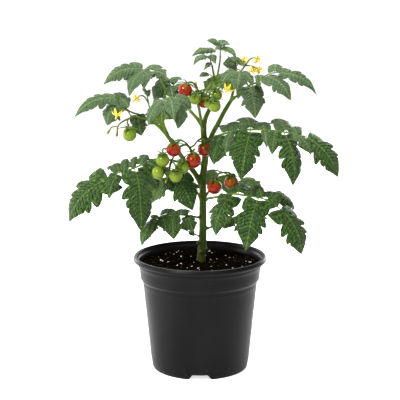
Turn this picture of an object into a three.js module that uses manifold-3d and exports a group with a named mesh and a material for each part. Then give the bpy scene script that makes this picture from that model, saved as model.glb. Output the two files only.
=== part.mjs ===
// A cherry tomato plant growing in a round nursery pot.
// Units are millimetres, +Z is up, and the origin is the middle of the pot's flat underside.
import * as THREE from 'three';
import { mergeVertices } from 'three/addons/utils/BufferGeometryUtils.js';
import Module from 'manifold-3d';

const wasm = await Module();
wasm.setup();

// ---------------------------------------------------------------- driving dimensions
const POT = {
  height: 163, lipRadius: 95, lipWidth: 6, lipDrop: 7,      // rolled lip round the mouth
  collarTop: 87, collarFoot: 85, collarHeight: 33,          // plain band below the lip
  bodyTop: 80.2, stepHeight: 7, baseRadius: 69,             // tapering body below the band's step
  wall: 1.8, floor: 2.4, sides: 30,
  drains: 4, drainWidth: 34, drainTop: 20, drainHeight: 6.5, drainReach: 42, drainHole: 5,
};
const SOIL = { level: 149.5, heap: 4, lump: 2.2, slack: 0.8, rings: 5, sides: 24 };
const GAP = 0.35;                  // clearance between pieces that touch
const SEPAL = 0.8;                 // thickness of sepals and petals
const BLADE = 0.8;                 // thickness of a leaf blade at its edge
const RIB = 1.5;                   // thickness of a leaf blade along its rib
const ROOT = 0.4;                  // how deep a leaflet's root sits past the middle of its stalk
const ARCH = 0.1;                  // rise of a leaflet's rib above the line from base to tip
const FALL = 0.3;                  // how far the two halves of a blade fall away from the rib
const SEPALS = 5;
const PETALS = 5;

// Directions that the upper face of a leaflet can look in.
const FACING = {
  front: [0, -1, 0.35], front_left: [-0.6, -1, 0.35], front_right: [0.6, -1, 0.35],
  up_front: [0, -0.75, 0.75], up: [0, -0.15, 1], up_back: [0, 0.7, 0.8], back: [0, 1, 0.4],
};

// ---------------------------------------------------------------- where everything grows
// Each stem: name, radius at its foot and at its tip, and the places it passes through.
const STEMS = [
  ["main", [6.2, 4.2], [[1, 0, 119], [1, 0, 144], [2, 0, 163], [4, 0, 192], [4, 0, 221], [4, 1, 250],
    [4, 2, 274], [7, 2, 300], [7, 0, 317], [5, 0, 339], [5, 0, 351]]],
  ["centre", [3.6, 1.3], [[5, 0, 346], [8, 0, 360], [14, 1, 373], [19, 1, 387], [21, 0, 404], [19, 0, 419],
    [17, 2, 430]]],
  ["centre_top", [1.9, 1.1], [[21, 0, 398], [24, 1, 417], [27, 3, 434], [28, 4, 443]]],
  ["left_fork", [3.2, 2.0], [[5, 0, 345], [-3, 1, 357], [-12, 2, 367]]],
  ["right", [3.8, 2.6], [[7, 0, 308], [13, 0, 325], [18, 0, 338], [25, 0, 351], [32, 0, 365], [39, 0, 377],
    [44, 0, 385]]],
  ["right_up", [2.2, 1.3], [[42, 0, 381], [46, 2, 396], [48, 5, 405], [47, 6, 411]]],
  ["left", [4.0, 2.8], [[3, 2, 262], [-7, 0, 281], [-17, -1, 293], [-27, -2, 307], [-36, -3, 322],
    [-45, -3, 334], [-49, -3, 341]]],
  ["left_out", [2.3, 1.6], [[-45, -3, 334], [-58, -4, 348], [-69, -5, 356]]],
  ["left_shoot", [1.8, 1.0], [[-47, -3, 337], [-56, -2, 353], [-64, 0, 363], [-70, 2, 373], [-72, 3, 382]]],
  ["left_up", [2.4, 1.5], [[-45, -3, 336], [-51, -3, 351], [-51, -2, 366], [-49, 0, 379], [-49, 2, 387]]],
];

// Each leaf: name, radius of its stalk at foot and tip, the stalk's places, and its leaflets.
// Each leaflet: how far along the stalk it grows, its tip, its width and where its face looks.
const LEAVES = [
  ["leaf_right_middle", [2.1, 0.9],
    [[8, -2, 325], [30, -20, 339], [55, -30, 346], [84, -38, 348], [115, -42, 345],
    [141, -44, 340]], [
    [0.20, [18, -44, 301], 27, "front_left"],
    [0.50, [55, -66, 284], 39, "front"],
    [0.62, [90, -58, 326], 11, "front"],
    [0.79, [127, -70, 277], 36, "front_right"],
    [0.50, [59, 25, 351], 29, "up"],
    [0.82, [103, 15, 352], 26, "up"],
    [1.00, [189, -55, 286], 35, "front_right"],
  ]],
  ["leaf_right_low", [2.1, 0.9],
    [[5, -1, 244], [25, -22, 252], [44, -38, 259], [63, -46, 258], [81, -50, 256], [93, -52, 252],
    [106, -54, 244]], [
    [0.32, [20, -68, 208], 35, "front_left"],
    [0.66, [62, -82, 190], 39, "front"],
    [0.79, [135, -12, 232], 31, "up_front"],
    [0.71, [78, -25, 270], 14, "up_front"],
    [0.41, [57, 20, 256], 29, "up"],
    [1.00, [140, -68, 181], 39, "front_right"],
  ]],
  ["leaf_right_low_back", [1.8, 0.9],
    [[6, 3, 199], [32, 22, 206], [55, 42, 211], [73, 58, 212]], [
    [0.57, [35, 60, 189], 26, "back"],
    [0.77, [68, 62, 176], 29, "back"],
    [1.00, [86, 95, 178], 36, "back"],
  ]],
  ["leaf_right_back", [1.8, 0.9],
    [[6, 4, 265], [9, 22, 278], [20, 45, 278], [38, 66, 269], [56, 84, 255]], [
    [0.36, [20, 52, 247], 23, "back"],
    [0.75, [46, 76, 234], 27, "back"],
    [1.00, [94, 112, 224], 30, "back"],
  ]],
  ["leaf_left_middle", [2.2, 0.9],
    [[-18, -2, 295], [-36, -14, 301], [-55, -24, 306], [-71, -34, 303], [-90, -44, 296],
    [-108, -48, 291], [-120, -50, 287]], [
    [0.67, [-78, -86, 218], 44, "front_right"],
    [0.58, [-58, -22, 259], 19, "front"],
    [0.70, [-87, -20, 309], 10, "up_front"],
    [0.79, [-101, -15, 304], 13, "up_front"],
    [0.88, [-129, -8, 288], 14, "up"],
    [0.47, [-64, -12, 276], 22, "front"],
    [0.89, [-123, -72, 259], 19, "front"],
    [1.00, [-180, -66, 227], 45, "front_left"],
  ]],
  ["leaf_centre", [1.8, 0.9],
    [[3, -1, 238], [-5, -12, 259], [-13, -16, 271], [-25, -18, 279], [-39, -18, 285]], [
    [0.85, [-57, -34, 249], 12, "front_left"],
    [0.65, [-48, -8, 259], 20, "up_front"],
    [1.00, [-10, -34, 235], 37, "front"],
  ]],
  ["leaf_left_low", [1.8, 0.8],
    [[2, -1, 217], [-14, -14, 223], [-28, -26, 227], [-42, -33, 229], [-55, -38, 227],
    [-65, -41, 220]], [
    [0.27, [-10, -34, 204], 18, "front"],
    [0.58, [-36, -54, 199], 25, "front"],
    [0.40, [-20, 12, 228], 20, "up"],
    [0.68, [-40, 8, 231], 20, "up"],
    [0.89, [-68, -60, 205], 16, "front"],
    [1.00, [-81, -52, 189], 19, "front_left"],
  ]],
  ["leaf_left_lowest", [1.2, 0.7],
    [[2, -1, 189], [-14, -10, 199], [-27, -16, 205], [-32, -18, 205]], [
    [0.34, [-8, -22, 196], 8, "front"],
    [0.55, [-17, -14, 214], 13, "up_front"],
    [1.00, [-45, -24, 200], 15, "front"],
  ]],
  ["leaf_upper_left", [1.6, 0.8],
    [[-49, 2, 388], [-49, 1, 400], [-57, -1, 415], [-69, 0, 424], [-75, 1, 426]], [
    [0.93, [-97, -34, 395], 26, "front_left"],
    [0.71, [-77, -30, 403], 19, "front_left"],
    [0.67, [-46, -18, 418], 18, "up_front"],
    [0.79, [-56, 38, 424], 20, "up"],
    [1.00, [-134, -4, 408], 34, "up_front"],
  ]],
  ["leaf_upper_left_rear", [1.5, 0.8],
    [[-13, 2, 367], [-22, 9, 379], [-33, 15, 393], [-45, 18, 408]], [
    [0.80, [-27, 0, 401], 20, "up_front"],
    [0.87, [-38, -4, 387], 21, "front"],
    [0.94, [-27, 36, 412], 17, "up"],
    [0.97, [-62, 42, 412], 14, "up"],
    [1.00, [-66, 16, 384], 25, "front_left"],
  ]],
  ["leaf_upper_left_front", [1.5, 0.8],
    [[-51, -3, 365], [-50, -28, 378], [-47, -46, 390], [-39, -54, 394], [-32, -58, 393]], [
    [0.32, [-64, -40, 383], 19, "up_front"],
    [0.50, [-69, -84, 361], 24, "front_left"],
    [0.67, [-34, -92, 369], 23, "front"],
    [0.90, [-11, -56, 379], 19, "up_front"],
    [1.00, [-28, -84, 356], 27, "front_right"],
  ]],
  ["leaf_far_left", [1.6, 0.8],
    [[-69, -5, 356], [-82, -8, 364], [-93, -11, 368], [-101, -13, 373], [-107, -16, 382],
    [-110, -17, 388]], [
    [0.29, [-81, -20, 337], 22, "front"],
    [0.91, [-97, -36, 379], 17, "front"],
    [0.96, [-128, -28, 353], 30, "front_left"],
    [0.87, [-118, 15, 391], 20, "up"],
    [1.00, [-172, -30, 366], 28, "up_front"],
  ]],
  ["leaf_shoot", [0.8, 0.5],
    [[-72, 3, 382], [-73, 2, 388], [-75, 1, 394]], [
    [0.63, [-69, -4, 399], 7, "front"],
    [1.00, [-78, -6, 403], 7, "front_left"],
    [0.81, [-71, 14, 394], 7, "up"],
  ]],
  ["leaf_top", [1.0, 0.6],
    [[28, 4, 443], [28, 4, 451], [28, 3, 458]], [
    [0.89, [40, -12, 463], 11, "up_front"],
    [0.83, [51, -22, 443], 17, "front_right"],
    [0.94, [34, 38, 461], 17, "up"],
    [1.00, [11, -4, 466], 17, "up_front"],
  ]],
  ["leaf_top_left", [1.0, 0.6],
    [[17, 2, 430], [14, 4, 442], [17, 5, 452]], [
    [0.50, [-8, -26, 438], 17, "front_left"],
    [0.69, [21, -14, 436], 10, "front"],
    [0.82, [8, 40, 448], 17, "up"],
    [1.00, [-9, -8, 445], 18, "up_front"],
  ]],
  ["leaf_young", [0.8, 0.5],
    [[20, 0, 409], [17, -6, 417], [12, -8, 421]], [
    [1.00, [-1, -12, 418], 8, "up_front"],
  ]],
  ["leaf_top_right", [1.0, 0.6],
    [[47, 6, 411], [47, 8, 419], [49, 8, 426], [53, 8, 435]], [
    [0.86, [32, -8, 435], 18, "front"],
    [0.89, [44, 32, 441], 17, "up"],
    [1.00, [59, -16, 433], 14, "front_right"],
  ]],
  ["leaf_upper_right", [1.4, 0.7],
    [[20, 0, 393], [28, -8, 403], [41, -26, 421], [51, -34, 429], [55, -38, 427]], [
    [0.68, [30, -48, 412], 19, "front_left"],
    [1.00, [71, -54, 409], 16, "front_right"],
    [1.00, [49, -66, 405], 24, "front"],
  ]],
  ["leaf_right_top", [1.7, 0.8],
    [[44, 0, 386], [57, -6, 394], [68, -14, 406], [79, -18, 411], [87, -20, 418], [97, -22, 423],
    [112, -22, 425]], [
    [0.34, [75, -42, 365], 30, "front"],
    [0.27, [53, 18, 385], 17, "up_back"],
    [0.60, [79, 28, 411], 14, "up"],
    [0.83, [123, -46, 389], 30, "front_right"],
    [0.89, [107, 25, 426], 20, "up"],
    [1.00, [160, -22, 396], 25, "up_front"],
  ]],
  ["leaf_back_left", [1.6, 0.8],
    [[-51, -3, 359], [-54, 24, 365], [-52, 50, 370], [-46, 74, 372]], [
    [0.39, [-71, 38, 346], 26, "back"],
    [0.67, [-32, 70, 350], 29, "back"],
    [0.55, [-65, 58, 381], 26, "up_back"],
    [1.00, [-55, 114, 346], 33, "back"],
  ]],
  ["leaf_back_right", [1.8, 0.9],
    [[8, 5, 302], [23, 34, 312], [41, 62, 318], [59, 88, 317]], [
    [0.34, [25, 62, 288], 26, "back"],
    [0.50, [49, 44, 328], 20, "up_back"],
    [0.72, [65, 92, 281], 30, "back"],
    [1.00, [85, 126, 290], 33, "back"],
  ]],
  ["leaf_back_low", [1.8, 0.9],
    [[1, 5, 259], [-17, 32, 266], [-41, 58, 265], [-65, 82, 257]], [
    [0.47, [-30, 78, 236], 30, "back"],
    [0.67, [-59, 92, 275], 24, "up_back"],
    [0.79, [-76, 86, 220], 30, "back"],
    [1.00, [-97, 112, 225], 36, "back"],
  ]],
  ["leaf_back_top", [1.4, 0.7],
    [[21, 1, 400], [26, 28, 412], [32, 52, 415]], [
    [0.45, [8, 36, 392], 20, "back"],
    [0.70, [46, 52, 392], 24, "back"],
    [1.00, [36, 84, 394], 28, "back"],
  ]],
];

// Each truss or spray: name and stalks. Each stalk: its two radii, its places and what it bears.
const TRUSSES = [
  ["truss_top", [
    [[1.5, 1.0], [[4, -3, 347], [1, -10, 360], [-1, -16, 372], [-3, -18, 382], [-3, -17, 390],
      [-3, -16, 397], [-5, -16, 404]], "bud"],
    [[0.8, 0.8], [[-3, -16, 397], [-8, -20, 408], [-12, -24, 411], [-16, -27, 411]], "fruit_top_1"],
    [[0.8, 0.8], [[-3, -17, 392], [-2, -21, 399], [-4, -25, 401], [-6, -28, 399]], "fruit_top_2"],
    [[0.8, 0.8], [[-3, -17, 390], [0, -14, 396], [4, -12, 395]], "fruit_top_3"],
    [[0.9, 0.8], [[-3, -16, 397], [4, -17, 400], [11, -20, 401], [13, -24, 396], [12, -24, 390]],
      "fruit_top_4"],
    [[0.8, 0.8], [[13, -24, 396], [16, -31, 395], [18, -36, 390]], "fruit_top_5"],
    [[0.8, 0.8], [[11, -20, 401], [18, -20, 406], [22, -20, 403]], "fruit_top_6"],
  ]],
  ["truss_middle", [
    [[1.5, 1.1], [[4, 2, 292], [-4, -8, 301], [-10, -14, 309], [-14, -20, 320], [-19, -24, 325],
      [-25, -26, 324], [-32, -26, 320], [-39, -27, 318], [-47, -30, 320]], ""],
    [[0.9, 0.8], [[-14, -20, 320], [-19, -28, 328], [-26, -36, 333], [-33, -40, 333]], "fruit_middle_1"],
    [[0.8, 0.8], [[-12, -16, 313], [-8, -22, 319], [-9, -28, 317]], "fruit_middle_2"],
    [[0.9, 0.8], [[-14, -20, 320], [-8, -20, 324], [-3, -19, 330], [3, -19, 333], [6, -19, 331]],
      "fruit_middle_3"],
    [[0.8, 0.8], [[-47, -30, 320], [-50, -38, 322], [-51, -44, 319]], "fruit_middle_4"],
    [[1.0, 0.8], [[-32, -26, 320], [-36, -28, 310], [-40, -36, 302], [-42, -42, 293],
      [-45, -44, 283]], "bud"],
    [[0.8, 0.8], [[-40, -36, 302], [-35, -43, 302], [-33, -49, 297]], "fruit_middle_7"],
    [[0.8, 0.8], [[-32, -26, 320], [-28, -30, 312], [-25, -35, 310], [-24, -38, 308]],
      "fruit_middle_6"],
    [[0.8, 0.8], [[-41, -39, 297], [-46, -38, 294], [-49, -40, 292]], "fruit_middle_5"],
  ]],
  ["truss_low", [
    [[1.3, 0.9], [[5, 0, 243], [11, 4, 252], [18, 5, 263], [23, 0, 275], [26, -4, 281], [31, -7, 283],
      [38, -9, 284], [43, -10, 282]], "fruit_low_2"],
    [[0.8, 0.8], [[25, -2, 279], [24, -9, 280], [22, -13, 277]], "fruit_low_1"],
  ]],
  ["spray_left", [
    [[1.1, 0.7], [[-67, -6, 355], [-76, -18, 360], [-88, -26, 364], [-97, -31, 362], [-106, -33, 358],
      [-112, -34, 352], [-113, -35, 344]], "bud"],
    [[0.8, 0.8], [[-98, -31, 362], [-99, -36, 357], [-97, -38, 353]], "fruit_left"],
    [[0.7, 0.6], [[-93, -29, 363], [-99, -33, 373], [-107, -36, 375], [-112, -41, 371]], "flower_left"],
    [[0.6, 0.6], [[-112, -34, 352], [-120, -36, 351], [-123, -37, 347]], "bud"],
  ]],
  ["spray_shoot", [
    [[0.8, 0.6], [[-72, 3, 380], [-77, -3, 389], [-83, -8, 391], [-87, -10, 388]], "flower_shoot"],
  ]],
  ["spray_right", [
    [[1.0, 0.7], [[48, 6, 409], [53, 9, 419], [59, 10, 426], [64, 9, 433], [69, 7, 440], [75, 5, 442],
      [79, 4, 440]], "flower_right_2"],
    [[0.6, 0.6], [[60, 10, 428], [63, 5, 435], [61, 3, 439]], "flower_right_1"],
    [[0.7, 0.6], [[63, 10, 431], [70, 6, 431], [76, 2, 429], [81, 0, 426]], "flower_right_4"],
    [[0.6, 0.6], [[70, 6, 431], [73, 3, 429], [73, 2, 426]], "flower_right_3"],
  ]],
  ["spray_centre", [
    [[0.9, 0.6], [[22, 0, 406], [28, -8, 412], [33, -12, 413], [38, -14, 408], [39, -15, 402]],
      "flower_centre"],
  ]],
];

// Each fruit: its middle, its radius and how ripe it is.
const FRUITS = {
  fruit_top_1: [[-20, -28, 401], 9.0, "red"],
  fruit_top_2: [[-7, -28, 389], 7.8, "green"],
  fruit_top_3: [[6, -10, 384], 9.4, "red"],
  fruit_top_4: [[12, -24, 382], 6.4, "green"],
  fruit_top_5: [[20, -38, 380], 7.9, "green"],
  fruit_top_6: [[23, -20, 393], 7.3, "green"],
  fruit_middle_1: [[-36, -40, 321], 9.6, "red"],
  fruit_middle_2: [[-9, -30, 304], 10.2, "red"],
  fruit_middle_3: [[7, -19, 318], 9.6, "red"],
  fruit_middle_4: [[-51, -46, 307], 9.0, "green"],
  fruit_middle_5: [[-57, -47, 290], 8.4, "green"],
  fruit_middle_6: [[-24, -38, 296], 8.8, "green"],
  fruit_middle_7: [[-33, -50, 286], 8.3, "green"],
  fruit_low_1: [[20, -14, 264], 9.8, "red"],
  fruit_low_2: [[44, -10, 270], 9.4, "orange"],
  fruit_left: [[-96, -38, 341], 9.1, "green"],
};

// Each open flower: the way it looks and the length of a petal.
const FLOWERS = {
  flower_right_1: [[-0.5, -0.8, -0.1], 8], flower_right_2: [[0.5, -0.7, -0.5], 8],
  flower_right_3: [[0.1, -0.7, -0.7], 8], flower_right_4: [[0.5, -0.7, -0.4], 8],
  flower_centre: [[-0.5, -0.6, -0.6], 10], flower_left: [[-0.2, -0.6, -0.8], 10],
  flower_shoot: [[-0.6, -0.6, -0.5], 9],
};

// ---------------------------------------------------------------- shapes and solids
const at = ([x, y, z]) => new THREE.Vector3(x, y, z);
const lastOf = places => at(places[places.length - 1]);
const mix = (a, b, t) => a + (b - a) * t;

// A steady number between 0 and 1 for each seed and draw.
function chance(seed, draw) {
  const wave = Math.sin(seed * 12.9898 + draw * 78.233) * 43758.5453;
  return wave - Math.floor(wave);
}

function course(places) {
  return new THREE.CatmullRomCurve3(places.map(at), false, "catmullrom", 0.5);
}

function closedGeometry(vertices, triangles) {
  const geometry = new THREE.BufferGeometry();
  geometry.setAttribute("position", new THREE.Float32BufferAttribute(vertices.flatMap(v => [...v]), 3));
  geometry.setIndex(triangles.flat());
  return geometry;
}

function solid(geometry) {
  const bare = geometry.clone();
  bare.deleteAttribute("normal");
  bare.deleteAttribute("uv");
  const merged = mergeVertices(bare, 1e-4);
  return new wasm.Manifold(new wasm.Mesh({
    numProp: 3,
    vertProperties: new Float32Array(merged.attributes.position.array),
    triVerts: new Uint32Array(merged.index.array),
  }));
}

function shape(body) {
  const { vertProperties, triVerts } = body.getMesh();
  const geometry = new THREE.BufferGeometry();
  geometry.setAttribute("position", new THREE.BufferAttribute(new Float32Array(vertProperties), 3));
  geometry.setIndex(new THREE.BufferAttribute(new Uint32Array(triVerts), 1));
  return geometry;
}

const join = solids => solids.reduce((whole, piece) => whole.add(piece));

function largest(body) {
  return body.decompose().reduce((best, piece) => (piece.volume() > best.volume() ? piece : best));
}

// A round stem along a course, thinning from its foot to its tip. `extra` swells it on every side.
function stalk(places, [foot, tip], sides, extra = 0) {
  const curve = course(places);
  const steps = places.length - 1;
  const vertices = [];
  const triangles = [];
  let normal = new THREE.Vector3(0.3, 0.9, 0.2);
  for (let i = 0; i <= steps; i += 1) {
    const tangent = curve.getTangent(i / steps);
    const centre = at(places[i]).addScaledVector(tangent, ((i === steps) - (i === 0)) * extra);
    const radius = mix(foot, tip, i / steps) + extra;
    normal = normal.clone().addScaledVector(tangent, -normal.dot(tangent)).normalize();
    const binormal = tangent.clone().cross(normal);
    for (let j = 0; j < sides; j += 1) {
      const angle = (2 * Math.PI * j) / sides;
      vertices.push(centre.clone()
        .addScaledVector(normal, radius * Math.cos(angle))
        .addScaledVector(binormal, radius * Math.sin(angle)));
    }
  }
  for (let i = 0; i < steps; i += 1) {
    for (let j = 0; j < sides; j += 1) {
      const a = i * sides + j;
      const b = i * sides + (j + 1) % sides;
      triangles.push([a, b, b + sides], [a, b + sides, a + sides]);
    }
  }
  for (let j = 1; j < sides - 1; j += 1) {
    triangles.push([0, j + 1, j], [steps * sides, steps * sides + j, steps * sides + j + 1]);
  }
  return solid(closedGeometry(vertices, triangles));
}

// ---------------------------------------------------------------- leaflets
const STALK_END = 0.1;             // a leaflet's own stalk ends here, as a share of its length
const LOBES_END = 0.86;            // and its last lobe here
const CUT = 0.3;                   // depth of the cuts between lobes, as a share of the half width
const LEAN = 0.16;                 // how far forward the side veins lean
const TWIST = 0.7;                 // most that a blade turns between its base and its tip

// Half width of an uncut blade at a place along it, 1 at its widest.
function fullness(u) {
  return 2.06 * Math.pow(u, 0.4) * Math.pow(1 - u, 0.7);
}

// One side of a blade's edge as [along, across] pairs, from its stalk to just before its tip.
function lobedEdge(lobes, seed) {
  const edge = [[STALK_END, 0.45]];
  const step = (LOBES_END - STALK_END) / lobes;
  for (let i = 0; i < lobes; i += 1) {
    const tipAt = STALK_END + (i + 0.72 + 0.22 * (chance(seed, i) - 0.5)) * step;
    const reach = 0.9 + 0.2 * chance(seed, i + 20);
    const notchAt = tipAt + 0.14 * step;
    const depth = CUT * (1 - 0.45 * i / lobes);
    edge.push([tipAt, fullness(tipAt) * reach], [notchAt, fullness(notchAt) * (1 - depth)]);
  }
  return edge;
}

// Triangles between a rib and a rim, both lists of [place along the blade, vertex number].
function stripBetween(rib, rim) {
  const faces = [];
  let i = 0;
  let j = 0;
  while (i < rib.length - 1 || j < rim.length - 1) {
    const ribNext = i < rib.length - 1 ? rib[i + 1][0] : Infinity;
    const rimNext = j < rim.length - 1 ? rim[j + 1][0] : Infinity;
    const corners = [rib[i][1], rim[j][1], ribNext <= rimNext ? rib[i + 1][1] : rim[j + 1][1]];
    if (new Set(corners).size === 3) faces.push(corners);
    if (ribNext <= rimNext) i += 1;
    else j += 1;
  }
  return faces;
}

// A thin arched blade from its root to its tip, with `edges` for its right and left sides.
// Both faces are split into the same triangles.
function blade(root, tip, width, facing, twist, ribPlaces, edges) {
  const forward = tip.clone().sub(root);
  const length = forward.length();
  forward.normalize();
  const normal = facing.clone().addScaledVector(forward, -facing.dot(forward)).normalize();
  const across = forward.clone().cross(normal);
  const upper = [];
  const lower = [];
  const put = (u, v, depth) => {
    const side = across.clone().applyAxisAngle(forward, twist * (u - 0.5));
    const up = normal.clone().applyAxisAngle(forward, twist * (u - 0.5));
    const rise = ARCH * length * 4 * u * (1 - u) - FALL * Math.abs(v) * width / 2 + BLADE / 2;
    const point = root.clone().addScaledVector(forward, u * length)
      .addScaledVector(side, v * width / 2).addScaledVector(up, rise);
    upper.push(point);
    lower.push(point.clone().addScaledVector(up, -depth));
    return upper.length - 1;
  };
  const rib = ribPlaces.map(u => [u, put(u, 0, mix(BLADE, RIB, 4 * u * (1 - u)))]);
  const apex = rib[rib.length - 1];
  const rims = edges.map((edge, k) => {
    const side = k === 0 ? 1 : -1;
    const points = edge.map(([u, v]) => [Math.max(0.01, u - LEAN * v), put(u, side * v, BLADE)]);
    return [rib[0], ...points, apex];
  });
  const right = stripBetween(rib, rims[0]);
  const left = stripBetween(rib, rims[1]).map(([a, b, c]) => [a, c, b]);
  const under = upper.length;
  const triangles = [...right, ...left];
  for (const [a, b, c] of [...right, ...left]) triangles.push([a + under, c + under, b + under]);
  const outline = [...rims[0], ...rims[1].slice(1, -1).reverse()].map(([, vertex]) => vertex);
  outline.forEach((a, i) => {
    const b = outline[(i + 1) % outline.length];
    triangles.push([b, a, a + under], [b, a + under, b + under]);
  });
  return solid(closedGeometry([...upper, ...lower], triangles));
}

function leaflet(base, tip, width, look, seed) {
  const root = base.clone().addScaledVector(tip.clone().sub(base).normalize(), -ROOT);
  const lobes = width > 26 ? 3 : width > 12 ? 2 : 1;
  const edges = [lobedEdge(lobes, seed), lobedEdge(lobes, seed + 0.5)];
  const ribPlaces = width > 26 ? [0, STALK_END, 0.45, 1] : [0, 0.45, 1];
  const twist = TWIST * (chance(seed, 40) - 0.5);
  return blade(root, tip, width, at(FACING[look]), twist, ribPlaces, edges);
}

// A point part of the way along the straight runs between places.
function pointAlong(places, t) {
  const run = Math.min(Math.floor(t * (places.length - 1)), places.length - 2);
  return at(places[run]).lerp(at(places[run + 1]), t * (places.length - 1) - run);
}

function leaf(radii, places, leaflets, number, clearStem) {
  const pieces = leaflets.map(([t, tip, width, look], i) =>
    leaflet(pointAlong(places, t), at(tip), width, look, number + i / 16));
  return largest(join([stalk(places, radii, 3), ...pieces]).subtract(clearStem));
}

// ---------------------------------------------------------------- pot, soil and stems
function lathe(profile, sides) {
  const geometry = new THREE.LatheGeometry(profile.map(([r, z]) => new THREE.Vector2(r, z)), sides);
  return geometry.rotateX(Math.PI / 2);
}

function potProfile() {
  const { height, lipRadius, lipWidth, lipDrop, collarTop, collarFoot, collarHeight } = POT;
  const { bodyTop, stepHeight, baseRadius, wall, floor, drainHeight, drainReach } = POT;
  const foot = height - collarHeight;
  return [
    [0, 0], [drainReach, 0], [drainReach + 2, drainHeight], [baseRadius - 7, drainHeight],
    [baseRadius - 5, 0], [baseRadius - 2, 0], [baseRadius, 2],
    [bodyTop, foot - stepHeight], [collarFoot, foot], [collarTop - 0.7, height - lipDrop - 2],
    [collarTop + 1.5, height - lipDrop + 0.4], [lipRadius - 1, height - lipDrop + 1.6],
    [lipRadius, height - 3], [lipRadius - 0.8, height - 0.9], [lipRadius - 2.6, height],
    [lipRadius - lipWidth + 0.6, height - 0.3], [lipRadius - lipWidth - 0.8, height - 3],
    [collarTop - wall - 0.7, height - lipDrop - 2], [collarFoot - wall, foot + 1],
    [bodyTop - wall, foot - stepHeight + 1], [baseRadius - wall + 0.8, drainHeight + floor + 2],
    [baseRadius - 4, drainHeight + floor], [drainReach + 0.5, drainHeight + floor],
    [drainReach - 2, floor], [0, floor],
  ];
}

function pot() {
  let body = solid(lathe(potProfile(), POT.sides));
  const { drainWidth, drainTop, drainHeight } = POT;
  const corners = [
    [-drainWidth / 2, -1], [drainWidth / 2, -1], [drainTop / 2, drainHeight], [-drainTop / 2, drainHeight],
  ];
  const notch = new THREE.Shape(corners.map(([x, z]) => new THREE.Vector2(x, z)));
  const reach = POT.baseRadius - 8;
  for (let k = 0; k < POT.drains; k += 1) {
    const turn = (k * 2 * Math.PI) / POT.drains;
    const opening = new THREE.ExtrudeGeometry(notch, { depth: 20, bevelEnabled: false });
    opening.rotateX(Math.PI / 2).translate(0, -reach, 0).rotateZ(turn);
    const hole = new THREE.CylinderGeometry(POT.drainHole, POT.drainHole, 20, 8).rotateX(Math.PI / 2);
    hole.translate(0, -(POT.drainReach + reach) / 2, drainHeight).rotateZ(turn + Math.PI / POT.drains);
    body = body.subtract(solid(opening)).subtract(solid(hole));
  }
  return body;
}

// Height of the soil's lumpy top above the plain level.
function soilTop(x, y) {
  const r = Math.hypot(x, y) / POT.collarFoot;
  const lumps = Math.sin(x * 0.21 + 1.3) * Math.cos(y * 0.24 - 0.6) + 0.6 * Math.sin(x * 0.47 - y * 0.39)
    + 0.4 * Math.cos(x * 0.83 + y * 0.71);
  return SOIL.heap * (1 - r * r) + SOIL.lump * lumps * (1 - 0.5 * r * r) * 0.5;
}

function soil(clearStem) {
  const { height, collarHeight, collarFoot, stepHeight, bodyTop, baseRadius } = POT;
  const { wall, floor, drainHeight, drainReach } = POT;
  const foot = height - collarHeight;
  const inset = wall + GAP + SOIL.slack;
  const edge = collarFoot - inset + 0.6;
  const profile = [
    [0, floor + GAP], [drainReach - 2.6, floor + GAP], [drainReach - 0.2, drainHeight + floor + GAP],
    [baseRadius - 4, drainHeight + floor + GAP],
    [bodyTop - inset, foot - stepHeight], [collarFoot - inset, foot + 2], [edge, SOIL.level - 2],
  ];
  for (let i = 0; i < SOIL.rings; i += 1) {
    profile.push([edge * (1 - i / SOIL.rings) - 0.3, SOIL.level]);
  }
  profile.push([0, SOIL.level]);
  const geometry = lathe(profile, SOIL.sides);
  const place = geometry.attributes.position;
  for (let i = 0; i < place.count; i += 1) {
    if (place.getZ(i) > SOIL.level - 1) {
      place.setZ(i, SOIL.level + soilTop(place.getX(i), place.getY(i)));
    }
  }
  return solid(geometry).subtract(clearStem);
}

const stems = extra => join(STEMS.map(([name, radii, places]) =>
  stalk(places, radii, name === "main" ? 7 : 5, extra)));

// ---------------------------------------------------------------- fruits, flowers and trusses
const POLE = new THREE.Vector3(0, 0, 1);

function crownOf(name, stalkEnd) {
  const [middle, radius] = FRUITS[name];
  const way = stalkEnd.clone().sub(at(middle)).normalize();
  return { way, middle: at(middle), radius };
}

// A star of thin pointed sepals on the crown of a fruit, with the hub that its stalk ends in.
function calyx({ way, middle, radius }, stalkEnd) {
  const side = new THREE.Vector3(1, 0, 0).cross(way).normalize();
  const out = (angle, lean, reach) => {
    const spoke = side.clone().applyAxisAngle(way, angle);
    return middle.clone().addScaledVector(way, reach * Math.cos(lean))
      .addScaledVector(spoke, reach * Math.sin(lean));
  };
  const hubEnd = out(0, 0, radius + GAP + 1);
  const top = out(0, 0, radius + GAP + 1.5);
  const rim = [];
  for (let k = 0; k < SEPALS; k += 1) {
    const angle = (2 * Math.PI * k) / SEPALS + radius;
    rim.push(out(angle, 0.9, radius + 3.6), out(angle + Math.PI / SEPALS, 0.24, radius + 1.6));
  }
  return [stalk([stalkEnd.toArray(), hubEnd.toArray()], [0.8, 1.1], 3), star(top, rim, way, 1.5)];
}

// A thin star from its middle, which is `depth` thick, out to a rim of tips and notches in turn.
function star(middle, rim, way, depth) {
  const count = rim.length;
  const upper = [...rim, middle];
  const lower = upper.map((point, i) =>
    point.clone().addScaledVector(way, i === count ? -depth : -SEPAL));
  const triangles = [];
  for (let a = 0; a < count; a += 1) {
    const b = (a + 1) % count;
    const under = count + 1;
    triangles.push([a, b, count], [b + under, a + under, count + under]);
    triangles.push([b, a, a + under], [b, a + under, b + under]);
  }
  return solid(closedGeometry([...upper, ...lower], triangles));
}

function bud(end, way) {
  const drop = new THREE.SphereGeometry(1.9, 5, 4);
  drop.rotateX(Math.PI / 2).scale(1, 1, 1.9);
  drop.applyQuaternion(new THREE.Quaternion().setFromUnitVectors(POLE, way));
  return solid(drop.translate(...end.clone().addScaledVector(way, 2.6).toArray()));
}

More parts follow.
